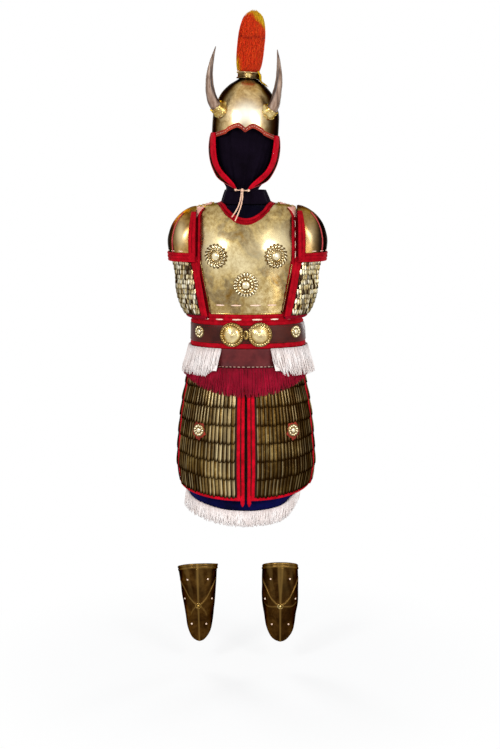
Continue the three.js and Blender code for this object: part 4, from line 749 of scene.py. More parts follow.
def fringe(name, surface, u0, u1, top, bottom, lift, step, width, curl, material, rides, layers, band=None, ragged=0.16,
           **more):
    """Strands side by side down a surface, in layers, from the place top to the place bottom at each turn"""
    heap = Heap()
    mid = (u0 + u1) / 2
    hundredth = float(np.linalg.norm(surface(mid + 0.01, top) - surface(mid, top)))
    count = int((u1 - u0) * hundredth * 100 / step)
    for layer in range(layers):
        for u in np.linspace(u0, u1, count) + rng.normal(0, 0.15 * (u1 - u0) / count, count):
            u = min(max(u, u0), u1)
            ends = np.array([top, bottom(u) + (top - bottom(u)) * ragged * rng.uniform(0, 1) ** 1.5])
            height = lift + layer * width * 0.9 + rng.uniform(0, width * 0.5)
            at, n = lifted(surface, np.array([u, u + rng.normal(0, 0.006)]), ends, height)
            strand(heap, at[0], at[1] - at[0], n[0], width * rng.uniform(0.8, 1.15), curl, rng.uniform(0.7, 1))
    if band:
        strip = lambda u, v: surface(u, top - band[0] * (1 - v))
        heap.skin(strip, np.linspace(u0, u1, 60), [0.0, 0.5, 1.0], lift - 0.2, lift + band[1], 0.9)
    return heap.make(name, material, rides, **more)


# ---- Round ornaments, as fields of heights by the share of the radius and the turn
def dome(r, edge, top):
    return top * np.sqrt(np.clip(1 - (r / edge) ** 2, 0, 1)) * (r < edge)


def bead_ring(r, a, at, count, size):
    along = (np.mod(a * count / TAU, 1) - 0.5) * (TAU * at / count) / size
    return np.sqrt(np.clip(1 - ((r - at) / size) ** 2 - along**2, 0, 1))


def ray_field(curve, dome_at=0.34, notch_at=0.54, rays=18):
    """A dome, a ring of notches and rays that curve outwards"""

    def field(r, a):
        h = 0.16 + dome(r, dome_at, 0.8) + 0.16 * bell(r, dome_at + 0.05, 0.035) * (r > dome_at)
        h += 0.42 * bead_ring(r, a, notch_at, rays, 0.07) + 0.18 * bell(r, notch_at + 0.1, 0.025)
        wave = smooth(-0.2, 0.5, np.cos(rays * (a + curve * (r - 0.7))))
        h += smooth(notch_at + 0.1, notch_at + 0.17, r) * (1 - smooth(0.95, 1, r)) * 0.5 * wave
        return h - 0.06 * smooth(0.8, 1, r)

    return field


def bead_field(dome_at, bead_at, beads, rays=0):
    """A dome and a ring of beads, with rays outside them where rays are given"""

    def field(r, a):
        h = 0.18 + dome(r, dome_at, 0.8) + 0.12 * bell(r, bead_at + 0.16, 0.025)
        h += 0.45 * bead_ring(r, a, bead_at, beads, TAU * bead_at / beads / 2.15)
        if rays:
            wave = smooth(-0.2, 0.5, np.cos(rays * a))
            h += smooth(bead_at + 0.16, bead_at + 0.22, r) * (1 - smooth(0.95, 1, r)) * 0.4 * wave
        return h - 0.14 * smooth(0.8, 1, r)

    return field


def disc_field(r, a):
    h = 0.12 + dome(r, 0.66, 0.55) + 0.016 * np.cos(r * TAU / 0.15) * (r < 0.6) + dome(r, 0.16, 0.3)
    h += 0.1 * bell(r, 0.2, 0.03) + 0.14 * bell(r, 0.68, 0.03)
    return h + 0.3 * bead_ring(r, a, 0.82, 26, 0.095) + 0.08 * bell(r, 0.95, 0.03) - 0.12 * smooth(0.97, 1, r)


def ornament(cad, place, radius, rise, field, rides="torso", material=rosette_bronze, rings=44, segments=132, sink=8,
             rays=0, light=0.65, **more):
    """An ornament in the place of the CAD node of that name; rays notches its rim"""
    share = np.concatenate([[1.0], np.linspace(1, 0.02, rings)])
    r, a = np.meshgrid(share, np.arange(segments) * TAU / segments, indexing="ij")
    h = field(r, a)
    h[0] = -sink / rise
    if rays:
        r = r * (1 - 0.07 * (1 - np.cos(rays * a)) * smooth(0.7, 1, r))
    verts = points(r * radius * np.cos(a), r * radius * np.sin(a), h * rise).reshape(-1, 3)
    faces = sheet_faces(rings + 1, segments, True) + [tuple(range(rings * segments, (rings + 1) * segments))]
    h = h.reshape(-1)
    # Painted shade in the recesses, and a painted highlight on the raised parts.
    shade = np.stack([0.22 + 0.78 * smooth(0.14, 0.36, h), light * smooth(0.3, 0.6, h)], -1)
    piece(cad + "_face", placed(verts, *place), faces, material, rides, [cad], shade, **more)


# ---- The tie's two free ends, along the routes of the part's source
TIE_ENDS = {
    "tie_end_long": [
        (-9.4, -93.4, 422.4), (-9.4, -94.4, 416.6), (-9.7, -96.6, 411), (-10.2, -99.4, 405.4), (-11, -102.4, 399.8),
        (-12, -105.2, 394), (-13.4, -107.8, 388), (-15, -110, 382), (-17, -111.8, 375.8), (-19.2, -113.2, 369.6),
        (-21.6, -114.2, 363.4), (-24.2, -115, 357.2), (-26.8, -115.6, 351), (-29.4, -116, 344.8), (-32, -116.2, 338.4)],
    "tie_end_short": [
        (-13.6, -93.4, 422.4), (-13.8, -94.6, 416.6), (-14.4, -97, 411), (-15.3, -99.8, 405.6), (-16.4, -102.6, 400.2),
        (-17.8, -105.4, 394.8), (-19.5, -107.8, 389.4), (-21.4, -109.8, 384.2), (-23.6, -111.4, 379),
        (-26, -112.4, 374), (-28.7, -113.2, 369.2), (-31.7, -113.8, 364.4), (-34.9, -114.2, 359.6),
        (-38.3, -114.4, 354.8), (-42, -114.6, 350)],
}
THONG_HALF = 1.9
for name, route in TIE_ENDS.items():
    dense = np.linspace(0, len(route) - 1, 57)
    path = table([(k, *p) for k, p in enumerate(route)])[0](dense)[:, 1:]
    path[:, 1] -= 2.4 * smooth(0, 10, dense)
    half = THONG_HALF - 0.15 * np.sin(dense * 1.7) - 0.5 * np.maximum(dense - (len(route) - 2), 0)
    verts, faces = tube(path, half, 10, 0.42, np.tile([0.25, -1.0, 0.1], (len(path), 1)))
    made = piece(name + "_thong", verts, faces, thong_leather, "cheek_left", [name])


def around(count):
    return np.arange(count) * TAU / count


# ---- Cloth of the body
def hem_height(turn):
    return -542 + (50 + 20 * np.maximum(np.sin(turn), 0)) * (1 - np.maximum(np.cos(turn), 0) ** 1.3)


def tunic_surface(turn, share):
    low = body_place(hem_height(turn))
    return body(turn, low + (BODY_TOP - low) * share)


def hem_surface(turn, drop):
    return body(turn, body_place(hem_height(turn) - drop))


def neck_surface(turn, up):
    up = np.asarray(up)
    half, front, back = (np.interp(up, [0, 0.5, 1], sizes) for sizes in ([79, 71, 64], [62, 56, 52], [57, 52, 47]))
    x, y = section(turn, half, front, back)
    return points(x - 2 * up, y, 386.4 + 41.6 * up)


turns = around(144)
shares = np.concatenate([np.linspace(0, 0.3, 16), np.linspace(0.31, 1, 60)])
tt, ss = np.meshgrid(turns, shares)
folds = 1.6 * np.sin(11 * tt + 2 * np.sin(3 * tt)) * (1 - smooth(0.02, 0.25, ss)) - 1.6
verts, faces = shell(tunic_surface, turns, shares, folds - 1.6, folds, True)
tone = 1 - 0.95 * smooth(-400, 100, verts[:, 2])
tunic = piece("tunic_cloth", verts, faces, navy_cloth, "torso", ["tunic"], tone)
ring = around(40)
hole = prism("hole", np.stack([44 * np.cos(ring), 285 + 84 * np.sin(ring)], -1), -240, 240, "x")
cut(tunic, hole)
as_sheet(tunic, 1.05, "hung", "vest")
fringe("hem_strands", hem_surface, 0, TAU, -3.0, lambda u: 48.0, -1.0, 3.6, 2.5, 3.6, white_wool, "torso", 3,
       ragged=0.3, nodes=["hem_fringe"])
shares = np.linspace(0, 1, 16)
tt, ss = np.meshgrid(turns, shares)
folds = 1.3 * np.sin(17 * tt + 1.5 * np.sin(4 * tt)) * np.sin(math.pi * ss) - 1.5
neck = skin("neck_wrap", neck_surface, turns, shares, folds - 1.4, folds, face_cloth, "torso", ["neck_cloth"], True)
as_sheet(neck, 0.35, "gathered", tunic)

# ---- The felt vest, and the roll round its neck
NECK_HALF, NECK_DEEP, NECK_MIDDLE = 76, 77, -21


def neck_plan(grown):
    return np.stack([(NECK_HALF + grown) * np.cos(ring), NECK_MIDDLE + (NECK_DEEP + grown) * np.sin(ring)], -1)


def shoulder_at(x, y):
    """The turn and the place of the body under a point of the plan"""
    low, high = body_place(0.0), float(BODY_TOP)
    for _ in range(40):
        place = (low + high) / 2
        _, half, front, back = body_at(place)
        x_share, y_share = x / half, -y / (front if y < 0 else back)
        if abs(x_share) ** ROUNDNESS + abs(y_share) ** ROUNDNESS < 1:
            low = place
        else:
            high = place
    sine, cosine = (np.sign(v) * abs(v) ** (ROUNDNESS / 2) for v in (x_share, y_share))
    return math.atan2(sine, cosine), place


chest = np.concatenate([[body_place(36.0)], np.linspace(body_place(40.0), BODY_TOP, 90)])
vest = skin("vest_felt", body, around(160), chest, 0.4, 3.0, deep_felt, "torso", ["vest"], True)
neck_hole = prism("neck_hole", neck_plan(0), 191, 420, "z")
cut(vest, hole, neck_hole)
as_sheet(vest, 0.95, "stretched", tunic)
heap = Heap()
for inset, lift, size, shade in ((-0.5, 5.2, 4.4, 1.0), (6.8, 4.0, 3.2, 0.75)):
    at = [shoulder_at((NECK_HALF + inset) * math.sin(turn), NECK_MIDDLE - (NECK_DEEP + inset) * math.cos(turn))
          for turn in around(72)]
    wobble = size * (1 + 0.05 * np.sin(np.arange(72) * 1.9) + 0.04 * rng.normal(size=72))
    heap.run(body, *np.array(at).T, wobble, lift, 14, 1.0, shade, True)
heap.make("neck_roll", deep_felt, "torso")
heap = Heap().stitch(body_z, (0.02, 46), (0.02 + TAU, 46), 20, 0.5, 2.4, 7.6)
for way in (-1, 1):
    for back in (False, True):
        for k in range(5):
            zs = np.linspace(210 + 24 * (k + 0.2), 210 + 24 * (k + 0.8), 7)
            u = body_turn(way * 149.5, zs)
            heap.run(body, math.pi - u if back else u, body_place(zs), 1.2, 3.2, 6)
heap.make("vest_stitches", thread, "torso")
heap = Heap()
for z, size in ((33.0, 6.2), (45.0, 6.6), (57.0, 6.2)):
    heap.run(body_z, around(120), z, size, 2.2, 10, 0.5, closed=True)
heap.make("vest_band", deep_felt, "torso")

# ---- Breastplate and backplate
PLATE_LIFT = 5.4
outline_at, _ = table([(0, 106, 61), (1, 129, 191), (2, 145, 281), (3, 137, 386)])
edge = np.concatenate([outline_at(np.linspace(0, 3, 40))[:, 1:], [[137, 420]]])
outline = np.concatenate([edge, (edge * [-1, 1])[::-1]])
wide_hole = prism("wide_hole", neck_plan(12.5), 150, 430, "z")
for name, middle, near, far in (("breastplate", 0.0, -170, -0.4), ("backplate", math.pi, 0.4, 170)):
    us = np.linspace(middle - math.pi / 2, middle + math.pi / 2, 110)
    vs = np.concatenate([[body_place(61.0) - 0.05], np.linspace(body_place(62.0), BODY_TOP, 100)])
    uu, vv = np.meshgrid(us, vs)
    lift = PLATE_LIFT + dents(uu, vv, 3, 2.2, 0.8) * smooth(0, 0.3, vv - vs[0])
    plate = skin(name + "_skin", body, us, vs, lift - 2, lift, plate_bronze, "torso", [name], sharp=40)
    keep = prism("keep", outline, near, far, "y")
    cut(plate, keep, how="INTERSECT")
    cut(plate, wide_hole)
    gone(keep)
    at = np.empty(len(plate.data.vertices) * 3)
    plate.data.vertices.foreach_get("co", at)
    x, _, z = at.reshape(-1, 3).T / MM
    # Painted shade darkens the plate towards its sides, the neck and its foot, and painted highlights lie on both pecs
    # and low in the middle of the chest.
    tone = 1 - 0.3 * smooth(104, 142, np.abs(x)) - 0.35 * smooth(330, 378, z) - 0.3 * (1 - smooth(62, 190, z))
    light = 0.85 * (bell(x, -100, 34) * bell(z, 250, 50) + bell(x, 92, 54) * bell(z, 270, 44))
    light += 0.35 * bell(x, 0, 60) * bell(z, 220, 40)
    shade_on(plate.data, np.clip(np.stack([tone, light], -1), 0, 1))
    heap = Heap()
    for way in (-1, 1):
        zs = np.linspace(66, 372, 50)
        u = body_turn(way * (np.interp(zs, edge[:, 1], edge[:, 0]) - 1.5), zs)
        heap.run(body, math.pi - u if middle else u, body_place(zs), 2.0, PLATE_LIFT, 8, 0.7, 0.3)
    half = body_turn(104.0, 63.0)
    heap.run(body_z, np.linspace(-half, half, 60) + middle, 63.0, 2.2, PLATE_LIFT, 8, 0.7, 0.8)
    heap.make(name + "_edge", gold_bronze, "torso")
    reach = body_turn(96.0, 89.0)
    heap = Heap().stitch(body_z, (middle - reach, 89), (middle + reach, 89), 4, 0.55, 2.6, 6.6)
    heap.make(name + "_stitches", thread, "torso")
gone(hole, neck_hole, wide_hole)


def strip(u, z):
    half = body_at(body_place(z))[..., 1]
    return body_z(side_turn(np.minimum(130, 0.86 * half) + 17 * u, half), z)


def tab(u, v):
    return strip(0.5 + (u - 0.5) * (0.25 + 0.95 * v), 344 + 28 * v)


for side, way in SIDES:
    heap = Heap().skin(strip, np.linspace(0, 1, 8), np.linspace(120, 372, 60), 3.2, 7.6, 0.75)
    heap.run(strip, 0.12, np.linspace(120, 372, 50), 2.6, 7.4, 8, 0.7)
    heap.make(f"vest_strip_{side}", deep_felt, "torso", way=way)
    skin(f"vest_tab_{side}", tab, np.linspace(0, 1, 8), np.linspace(0, 1, 10), 7.8, 9.4, pale_leather, "torso", way=way)
Heap().stitch(strip, (0.45, 222), (0.45, 340), 4, 0.68, 1.7, 8.0).make("vest_strip_stitches", thread, "torso")
for side, way in SIDES:
    ornament(f"chest_rosette_{side}", body_front(way * 87, 235, 5.8), 38, 9, ray_field(0.7 * way), segments=180,
             rays=18)
ornament("low_rosette", body_front(0, 150, 5.8), 39, 9, bead_field(0.32, 0.48, 13, 22), rays=22)


# ---- Shoulder yokes and their tabs
def yoke(u, v):
    y = -36 + 50 * v
    return points(96 + 53.6 * u, y, 391.5 - 12.5 * u - 0.018 * (y + 11) ** 2)


def yoke_tab(u, v):
    return yoke(0.12 + 0.5 * u, 0.06 + (0.34 * (1 - u) + 0.05) * v)


us = np.linspace(0, 1, 34)
uu, vv = np.meshgrid(us, us)
crinkle = 1.6 * np.abs(np.sin(9 * uu + 5 * np.sin(5 * vv))) + 0.8 * np.abs(np.sin(17 * vv + 4 * uu)) - 1.6
for side, way in SIDES:
    skin(f"yoke_{side}", yoke, us, us, -2.6, crinkle, gold_bronze, "torso", [f"shoulder_tab_{side}"], way=way, sharp=50)
    skin(f"yoke_tab_{side}", yoke_tab, np.linspace(0, 1, 8), np.linspace(0, 1, 8), 1.0, 2.8, pale_leather, "torso",
         way=way)
    heap = Heap()
    for v in (0.2, 0.5, 0.8):
        heap.stitch(yoke, (0.1, v), (0.95, v), 4, 0.5, 1.2, 1.6)
    heap.make(f"yoke_stitches_{side}", thread, "torso", way=way)


# ---- Belt and waistband
def hoop(name, cad, material, zs, low, heights, lifts, ripple=0.0, **more):
    """A band round the body, with its outer lift given at some heights"""
    turns = around(160)
    lift = np.interp(zs, heights, lifts)[:, None] + ripple * np.sin(turns * 37 + np.array(zs)[:, None])
    skin(name, body_z, turns, zs, low, lift, material, "torso", [cad], True, **more)


hoop("belt_felt_skin", "belt_felt", deep_felt, [-43, -41, -39, -35, -31, -27.4, -26, 0, 25, 27.4, 29, 31, 33, 35.4],
     0.4, [-43, -40.5, -36.5, -33, -29.5, -27.4, 27.4, 29, 32.5, 35.4],
     [2.2, 6.6, 6.9, 5.0, 6.4, 3.4, 3.4, 5.6, 7.0, 3.0], 0.35)
hoop("belt_strap", "belt", belt_leather, [-27, -26.2, -24, -8, 8, 24, 26.2, 27], 3.8, [-27, -25, 25, 27],
     [6.2, 7, 7, 6.2], sharp=50)
heap = Heap()
for z in (-22.5, 22.5):
    heap.stitch(body_z, (0, z), (TAU, z), 130, 0.55, 0.7, 7.1)
heap.make("belt_stitches", maroon_wool, "torso")
for side, way in SIDES:
    ornament(f"belt_disc_{side}", body_front(way * 41, 0, 7.0), 37, 15, disc_field, material=gold_bronze, light=0.4)
    ornament(f"belt_rosette_{side}", body_front(way * 136, 4, 7.0), 19, 5, bead_field(0.42, 0.72, 11), rings=26,
             segments=110, sink=5)
ring = around(40)
link = np.stack([4.4 * np.sin(ring), -131.0 + 0 * ring, 11.4 * np.cos(ring)], -1)
verts, faces = tube(link, 2.5 + 0.9 * np.abs(np.cos(ring)) ** 3, 12, 0.55, np.tile([0.0, -1, 0], (40, 1)), True)
# Painted shade: the link darkens over its left half.
tone = np.clip(0.55 + 0.6 * np.sin(np.repeat(ring, 12)), 0.3, 1)
piece("clasp_link", verts, faces, gold_bronze, "clasp", ["clasp"], tone)
hoop("waistband_skin", "waistband", band_leather, [-101, -100, -98, -94.5, -92.5, -70, -48, -45, -44], 0.4,
     [-101, -99, -95, -93.5, -46, -44], [2.6, 4.4, 4.4, 3.4, 3.6, 2.6], sharp=60)
Heap().stitch(body_z, (0, -97.5), (TAU, -97.5), 90, 0.62, 0.9, 4.5).make("waistband_stitches", thread, "torso")


# ---- Aprons
def leaned_out(at, by):
    """Points moved outwards from the middle, level"""
    return at + unit(at * [1, 1, 0]) * np.asarray(by)[..., None]


def apron_on(drawn_in):
    """An apron, with its outer side drawn in"""

    def surface(turn, up):
        down = 1 - np.asarray(up)
        at = body_z(turn, -46.0 - down * 72)
        at[..., 0] -= drawn_in * smooth(70, 160, at[..., 0])
        return leaned_out(at, 28 * down)

    return surface


APRON_FROM, APRON_TO = math.radians(24), math.radians(150)
for side, way in SIDES:
    apron = apron_on(13 if way < 0 else 0)
    back = skin(f"apron_cloth_{side}", apron, np.linspace(APRON_FROM, APRON_TO, 70), np.linspace(0.12, 1, 8), 4.1, 5.2,
                white_wool, "torso", [f"apron_{side}"], way=way)
    strands = fringe(f"apron_strands_{side}", apron, APRON_FROM + 0.01, APRON_TO, 1.0,
                     lambda u: -0.14 + 0.5 * max(0, 1 - (u - APRON_FROM) / 0.16), 5.4, 3.4, 2.3, 3.6, white_wool,
                     "torso", 4, ragged=0.26, way=way)
    as_sheet(back, 0.25, "hung", ["waistband_skin"], with_pieces=[strands])

# ---- Skirt
CENTRE, SIDE, SLIT = 0.1205, 1.3439, 0.00438  # turns of the plates' inner and outer edge, and of the slit
LOW, TOP = 0.0245, 0.9795  # shares of the height that the rows of plates fill
MM_TURN = 1 / 180
SKIRT_ROWS, PLATE_PITCH = 7, 11.2
ROSETTE_HEIGHT, ROSETTE_SIDE = -296.0, 139.0


def skirt_rows(surface, u0, u1, painted_light=lambda u: 0.8 + 0 * u):
    """Rows of plates, with painted light: lighter and with more painted highlights where the painted light share is
    higher
    """
    heap = Heap()
    count = int(round((u1 - u0) / MM_TURN / PLATE_PITCH))
    edges = np.linspace(u0, u1, count + 1)
    painted_light = painted_light((edges[:-1] + edges[1:]) / 2)
    gap = 0.35 * MM_TURN
    for row in range(SKIRT_ROWS):
        a, b = (LOW + (TOP - LOW) * k / SKIRT_ROWS for k in (row, row + 1))
        jitter = rng.normal(0, 0.003, count)
        lift, tip = 2.8 + rng.uniform(0, 0.5, count), 1.7 + rng.uniform(0, 0.9, count)
        verts, faces, shade = tiles(surface, edges[:-1] + gap, edges[1:] - gap, a - 0.006 + jitter, b + 0.012 + jitter,
                                    lift, 0.9, 1.9, tip, 0.1, 6, rng.normal(0, 0.0022, count))
        each = len(verts) // count
        # Painted light: each plate's random tone is scaled by the painted light share, one thin column of each plate
        # carries a painted highlight, and the most lit plates carry more painted highlight.
        tone = np.repeat(np.minimum(painted_light * rng.uniform(0.35, 1.1, count), 1.3), each)
        light = np.repeat(rng.uniform(0.1, 1, count) * (0.45 + 0.6 * painted_light), each)
        spot = np.arange(each)
        painted_edge_highlight = np.tile((spot % 5 == 1) & (spot < 25) & (spot > 4), count) * light
        painted_highlight = 0.5 * np.repeat(np.maximum(painted_light - 0.7, 0) * rng.uniform(0, 1, count) ** 1.5, each) * shade
        heap.add(verts, faces, np.stack([np.clip(shade * tone + 0.5 * painted_edge_highlight, 0, 1), 0.8 * painted_edge_highlight + painted_highlight], -1))
    return heap


def tassels(name, surface, u0, u1, rides, cad, **more):
    """The fringe over the skirt"""

    def tassel(turn, share):
        share = np.asarray(share)
        bottom = 132 + 54 * np.maximum(np.cos(turn), 0) ** 2
        z, low = -bottom + (bottom - SKIRT_TOP) * share, -skirt_bottom(turn)
        return leaned_out(surface(turn, (z - low) / (-SKIRT_TOP - low)), 5 * (1 - share))

    fringe(name, tassel, u0, u1, 0.99, lambda u: -0.03, 7.0, 3.0, 2.2, 1.0, fringe_maroon, rides, 3, band=(0.72, 2.2),
           nodes=[cad], **more)


ups = np.linspace(0.005, 0.99, 70)
wobble = 0.0008 * np.sin(ups * 40)
for side, way in SIDES:
    rides = f"skirt_front_{side}"
    skirt = skirt_on(0.085 if way > 0 else 0.05)
    # Painted light: the left panel is lit brighter than the right, and each is lit more towards the middle.
    painted_panel_light = 1.0 if way < 0 else 0.42
    us = np.concatenate([[SLIT], np.linspace(CENTRE - 0.006, SIDE - 0.02, 40), [SIDE]])
    vs = np.concatenate([[0], np.linspace(0.012, 1, 40)])
    skin(f"skirt_leather_{side}", skirt, us, vs, 0, 2.3, skirt_leather, rides, [f"skirt_{side}"], way=way)
    heap = skirt_rows(skirt, CENTRE + 0.008, SIDE - 0.062, lambda u: painted_panel_light * (1.35 - 0.85 * smooth(0.3, 0.8, u)))
    heap.make(f"skirt_lamellae_{side}", scale_bronze, rides, nodes=[f"skirt_scales_{side}"], way=way, sharp=50)
    heap = Heap()
    for u, size, lift in ((SLIT + 0.029, 5.0, 2.6), (SLIT + 0.083, 5.2, 2.4), (SIDE - 0.024, 3.6, 2.4)):
        heap.run(skirt, u + wobble, ups, size, lift, 12, 0.62)
    heap.run(skirt, np.linspace(SLIT + 0.01, SIDE - 0.01, 70), 0.012, 5.2, 2.6, 12, 0.62)
    tail = np.interp(np.arange(20), [0, 14, 19], [6.2, 6.2, 1.5])
    heap.run(skirt, SLIT + 0.034, np.linspace(0.04, -0.045, 20), tail, 3.4, 12, 0.62)
    heap.make(f"skirt_binding_{side}", red_felt, rides, way=way)
    tassels(f"skirt_strands_{side}", skirt, SLIT + 0.004, SIDE - 0.01, rides, f"skirt_fringe_{side}", way=way)
    high = (502 + ROSETTE_HEIGHT) / (502 - SKIRT_TOP)
    turn = float(side_turn(ROSETTE_SIDE, skirt_at(skirt_place(ROSETTE_HEIGHT))[1]))

    def patch(a, r):
        r = r * (1 + 0.1 * np.sin(5 * a) + 0.07 * np.sin(11 * a + 1))
        return skirt(turn + 0.12 * r * np.cos(a), high - 0.004 - 0.066 * r * np.sin(a))

    skin(f"skirt_patch_{side}", patch, around(48), np.linspace(1, 0.1, 6), 6.6, 8.2, patch_leather, rides, wraps=True,
         way=way)
    ornament(f"skirt_rosette_{side}", lifted(skirt, turn, high, 8.4), 19, 5, bead_field(0.4, 0.7, 11), rides, rings=26,
             segments=110, sink=3, way=way)

skirt = skirt_on(0.06)
back_from = SIDE + 3 * MM_TURN
back_to = TAU - back_from
us = np.linspace(back_from, back_to, 120)
skin("skirt_back_leather", skirt, us, np.linspace(0, 1, 40), 0, 2.3, skirt_leather, "torso", ["skirt_back"])
skirt_rows(skirt, back_from + 0.02, back_to - 0.02).make("skirt_back_lamellae", scale_bronze, "torso", sharp=50)
heap = Heap().run(skirt, us, 0.012, 5.2, 2.6, 12, 0.62)
for u in (back_from + 0.012, back_to - 0.012):
    heap.run(skirt, u, ups, 3.2, 2.4, 12, 0.62)
heap.make("skirt_back_binding", red_felt, "torso")
tassels("back_strands", skirt, back_from, back_to, "torso", "back_fringe")

# ---- Shoulder guards
EDGE_TURN = 0.22  # the turn that the felt takes at the front and at the back
for side, way in SIDES:
    rides = f"shoulder_{side}"
    right = way > 0

    def guard(turn, z):
        """The guard, 5% larger on the right"""
        z, reach, deep = np.moveaxis(guard_at(guard_place(z)), -1, 0)
        x, y = section(turn, reach, deep, deep)
        return points(GUARD_MIDDLE + 5 * right + x * (1.05 if right else 1), y, z + 3 * right * smooth(240, 330, z))

    us = np.linspace(0, math.pi, 80)
    zs = np.concatenate([np.linspace(239, 360, 50), np.linspace(362, 378.7, 14)])
    uu, zz = np.meshgrid(us, zs)
    lift = dents(uu * 0.8, zz / 60, 9, 1.6, 0.9)
    verts, faces = shell(guard, us, zs, lift - 2, lift)
    x, _, z = verts.T
    # Painted light: the guard darkens towards its outer side and towards the body, and the right guard all over; a
    # painted highlight lies part way out on it, weaker on the right.
    tone = 1 - 0.9 * smooth(192, 234, x) - 0.3 * (1 - smooth(160, 176, x)) - 0.3 * right
    light = (0.55 if right else 0.75) * bell(x, 196, 15) * bell(z, 296, 34)
    shade = np.stack([np.clip(tone, 0, 1), light], -1)
    piece(f"guard_plate_{side}", verts, faces, guard_bronze, rides, [f"shoulder_guard_{side}"], shade, way, sharp=45)
    heap = Heap().skin(guard, us, np.linspace(216.5, 241, 12), -2.4, 2.6, 0.9)
    for z, size in ((219.5, 4.2), (229.0, 4.8), (238.5, 4.2)):
        heap.run(guard, np.linspace(0.02, math.pi - 0.02, 60), z, size, 2.2, 12, 0.55)
    zs = np.linspace(219, 361, 50)
    for start in (0, math.pi - EDGE_TURN):
        heap.skin(guard, np.linspace(start, start + EDGE_TURN, 8), zs, 0.4, 2.8, 0.35)
        for u in (start + EDGE_TURN / 4, start + EDGE_TURN * 3 / 4):
            heap.run(guard, u + 0.002 * np.sin(zs * 0.2), zs, 4.9, 2.0, 12, 0.55)
    heap.make(f"guard_felt_{side}", deep_felt, rides, nodes=[f"shoulder_trim_{side}"], way=way)
    heap = Heap()
    for u in (math.radians(52), math.radians(128)):
        heap.run(guard, u, np.linspace(241, 358, 40), 2.0, 0.9, 8, 0.9)
    heap.make(f"guard_piping_{side}", pink_cord, rides, way=way)
    heap = Heap().stitch(guard, (0.34, 247), (1.5, 247), 3, 0.5, 1.5, 0.6)
    heap.stitch(guard, (math.pi - 0.34, 247), (math.pi - 1.5, 247), 3, 0.5, 1.5, 0.6)
    heap.make(f"guard_stitches_{side}", thread, rides, way=way)

# ---- Arm guards
ARM_LOW, ARM_HIGH = 47, 232
ARM_ROWS, ARM_COUNT, ARM_FOOT = 12, 31, 0.0638
SCALES_FROM, SCALES_TO = 0.078, 0.922
for side, way in SIDES:
    rides = f"arm_{side}"
    out = 5 if way > 0 else 0

    def arm(share, up):
        """From the front edge round the outside to the back edge, a little further out on the right"""
        z = ARM_LOW + (ARM_HIGH - ARM_LOW) * up
        _, half, front, back = np.moveaxis(arm_at(arm_place(z)), -1, 0)
        start = side_turn(114 + 33 * up, half)
        x, y = section(start + (math.pi - 2 * start) * share, half, front, back)
        return points(x + out * smooth(120, 190, x), y, z)

    skin(f"arm_leather_{side}", arm, np.linspace(0, 1, 60), np.linspace(0, 1, 24), 0, 2.4, skirt_leather, rides,
         [f"arm_guard_{side}"], way=way)
    heap = Heap().run(arm, np.linspace(0.01, 0.99, 70), 0.022, 6.0, 1.9, 12, 0.7)
    heap.make(f"arm_hem_{side}", maroon_wool, rides, way=way)
    heap = Heap()
    for u, size in ((0.018, 6.2), (0.052, 6.0), (0.982, 6.2), (0.948, 6.0)):
        heap.run(arm, u, np.linspace(0.03, 0.99, 30), size, 2.0, 12, 0.45)
    heap.make(f"arm_edge_{side}", deep_felt, rides, way=way)
    heap = Heap()
    for row in range(ARM_ROWS):
        a, b = (ARM_FOOT + (1 - ARM_FOOT) * k / ARM_ROWS for k in (row, row + 1))
        pitch = (SCALES_TO - SCALES_FROM) / ARM_COUNT
        edges = np.linspace(SCALES_FROM, SCALES_TO, ARM_COUNT + 1) + (0.5 * (row % 2) - 0.25) * pitch
        edges += rng.normal(0, 0.0016, ARM_COUNT + 1)
        jitter = rng.normal(0, 0.006, ARM_COUNT)
        lift, tip = 2.7 + rng.uniform(0, 0.4, ARM_COUNT), 1.5 + rng.uniform(0, 0.8, ARM_COUNT)
        verts, faces, shade = tiles(arm, edges[:-1] + 0.0011, edges[1:] - 0.0011, a + jitter, b + 0.016 + jitter, lift,
                                    0.6, 1.0, tip, 0.3, 4, rng.normal(0, 0.003, ARM_COUNT))
        each = len(verts) // ARM_COUNT
        # Painted shade at each scale's edges, from tiles, on a random tone, and a painted highlight over the middles of
        # some scales.
        tone = np.repeat(rng.uniform(-0.2, 2.4, ARM_COUNT).clip(0.02, 1), each) * (0.3 + 0.7 * smooth(0, 0.5, shade))
        light = np.repeat(np.maximum(rng.uniform(-0.6, 1, ARM_COUNT), 0), each) * smooth(0.5, 0.95, shade)
        heap.add(verts, faces, np.stack([tone, light], -1))
    heap.make(f"arm_lamellae_{side}", arm_bronze, rides, nodes=[f"arm_scales_{side}"], way=way, sharp=50)


# ---- Head
def head(turn, place):
    return points(*ring_at(head_at, turn, place))


def head_surface(turn, share):
    """The cloth over the head form, fuller behind the cheek guards and narrower at its foot"""
    at = head(turn, np.maximum(np.asarray(share), 0) * 5.9)
    z = at[..., 2]
    full = smooth(450, 500, z) * (1 - smooth(590, 625, z))
    at[..., 0] *= 1 + 0.13 * full * np.abs(np.sin(turn)) ** 2 - 0.14 * (1 - smooth(432, 460, z))
    at[..., 2] += 100 * np.minimum(share, 0)
    return at


def dome_surface(turn, share):
    """From the helmet's rim to its top at 1, and inwards over it"""
    share = np.asarray(share, float)
    start = helmet_place(rim_height(turn))
    over = np.clip(share - 1, 0, 1)
    at = helmet(turn, start + (7 - start) * np.minimum(share, 1))
    at[..., :2] *= (1 - 0.97 * over)[..., None]
    at[..., 2] += over * 1.2
    return at


def brow(turn, share):
    at = helmet(turn, helmet_place(rim_height(turn)))
    at[..., 2] -= 1.2 + 12 * (1 - np.asarray(share))
    return at


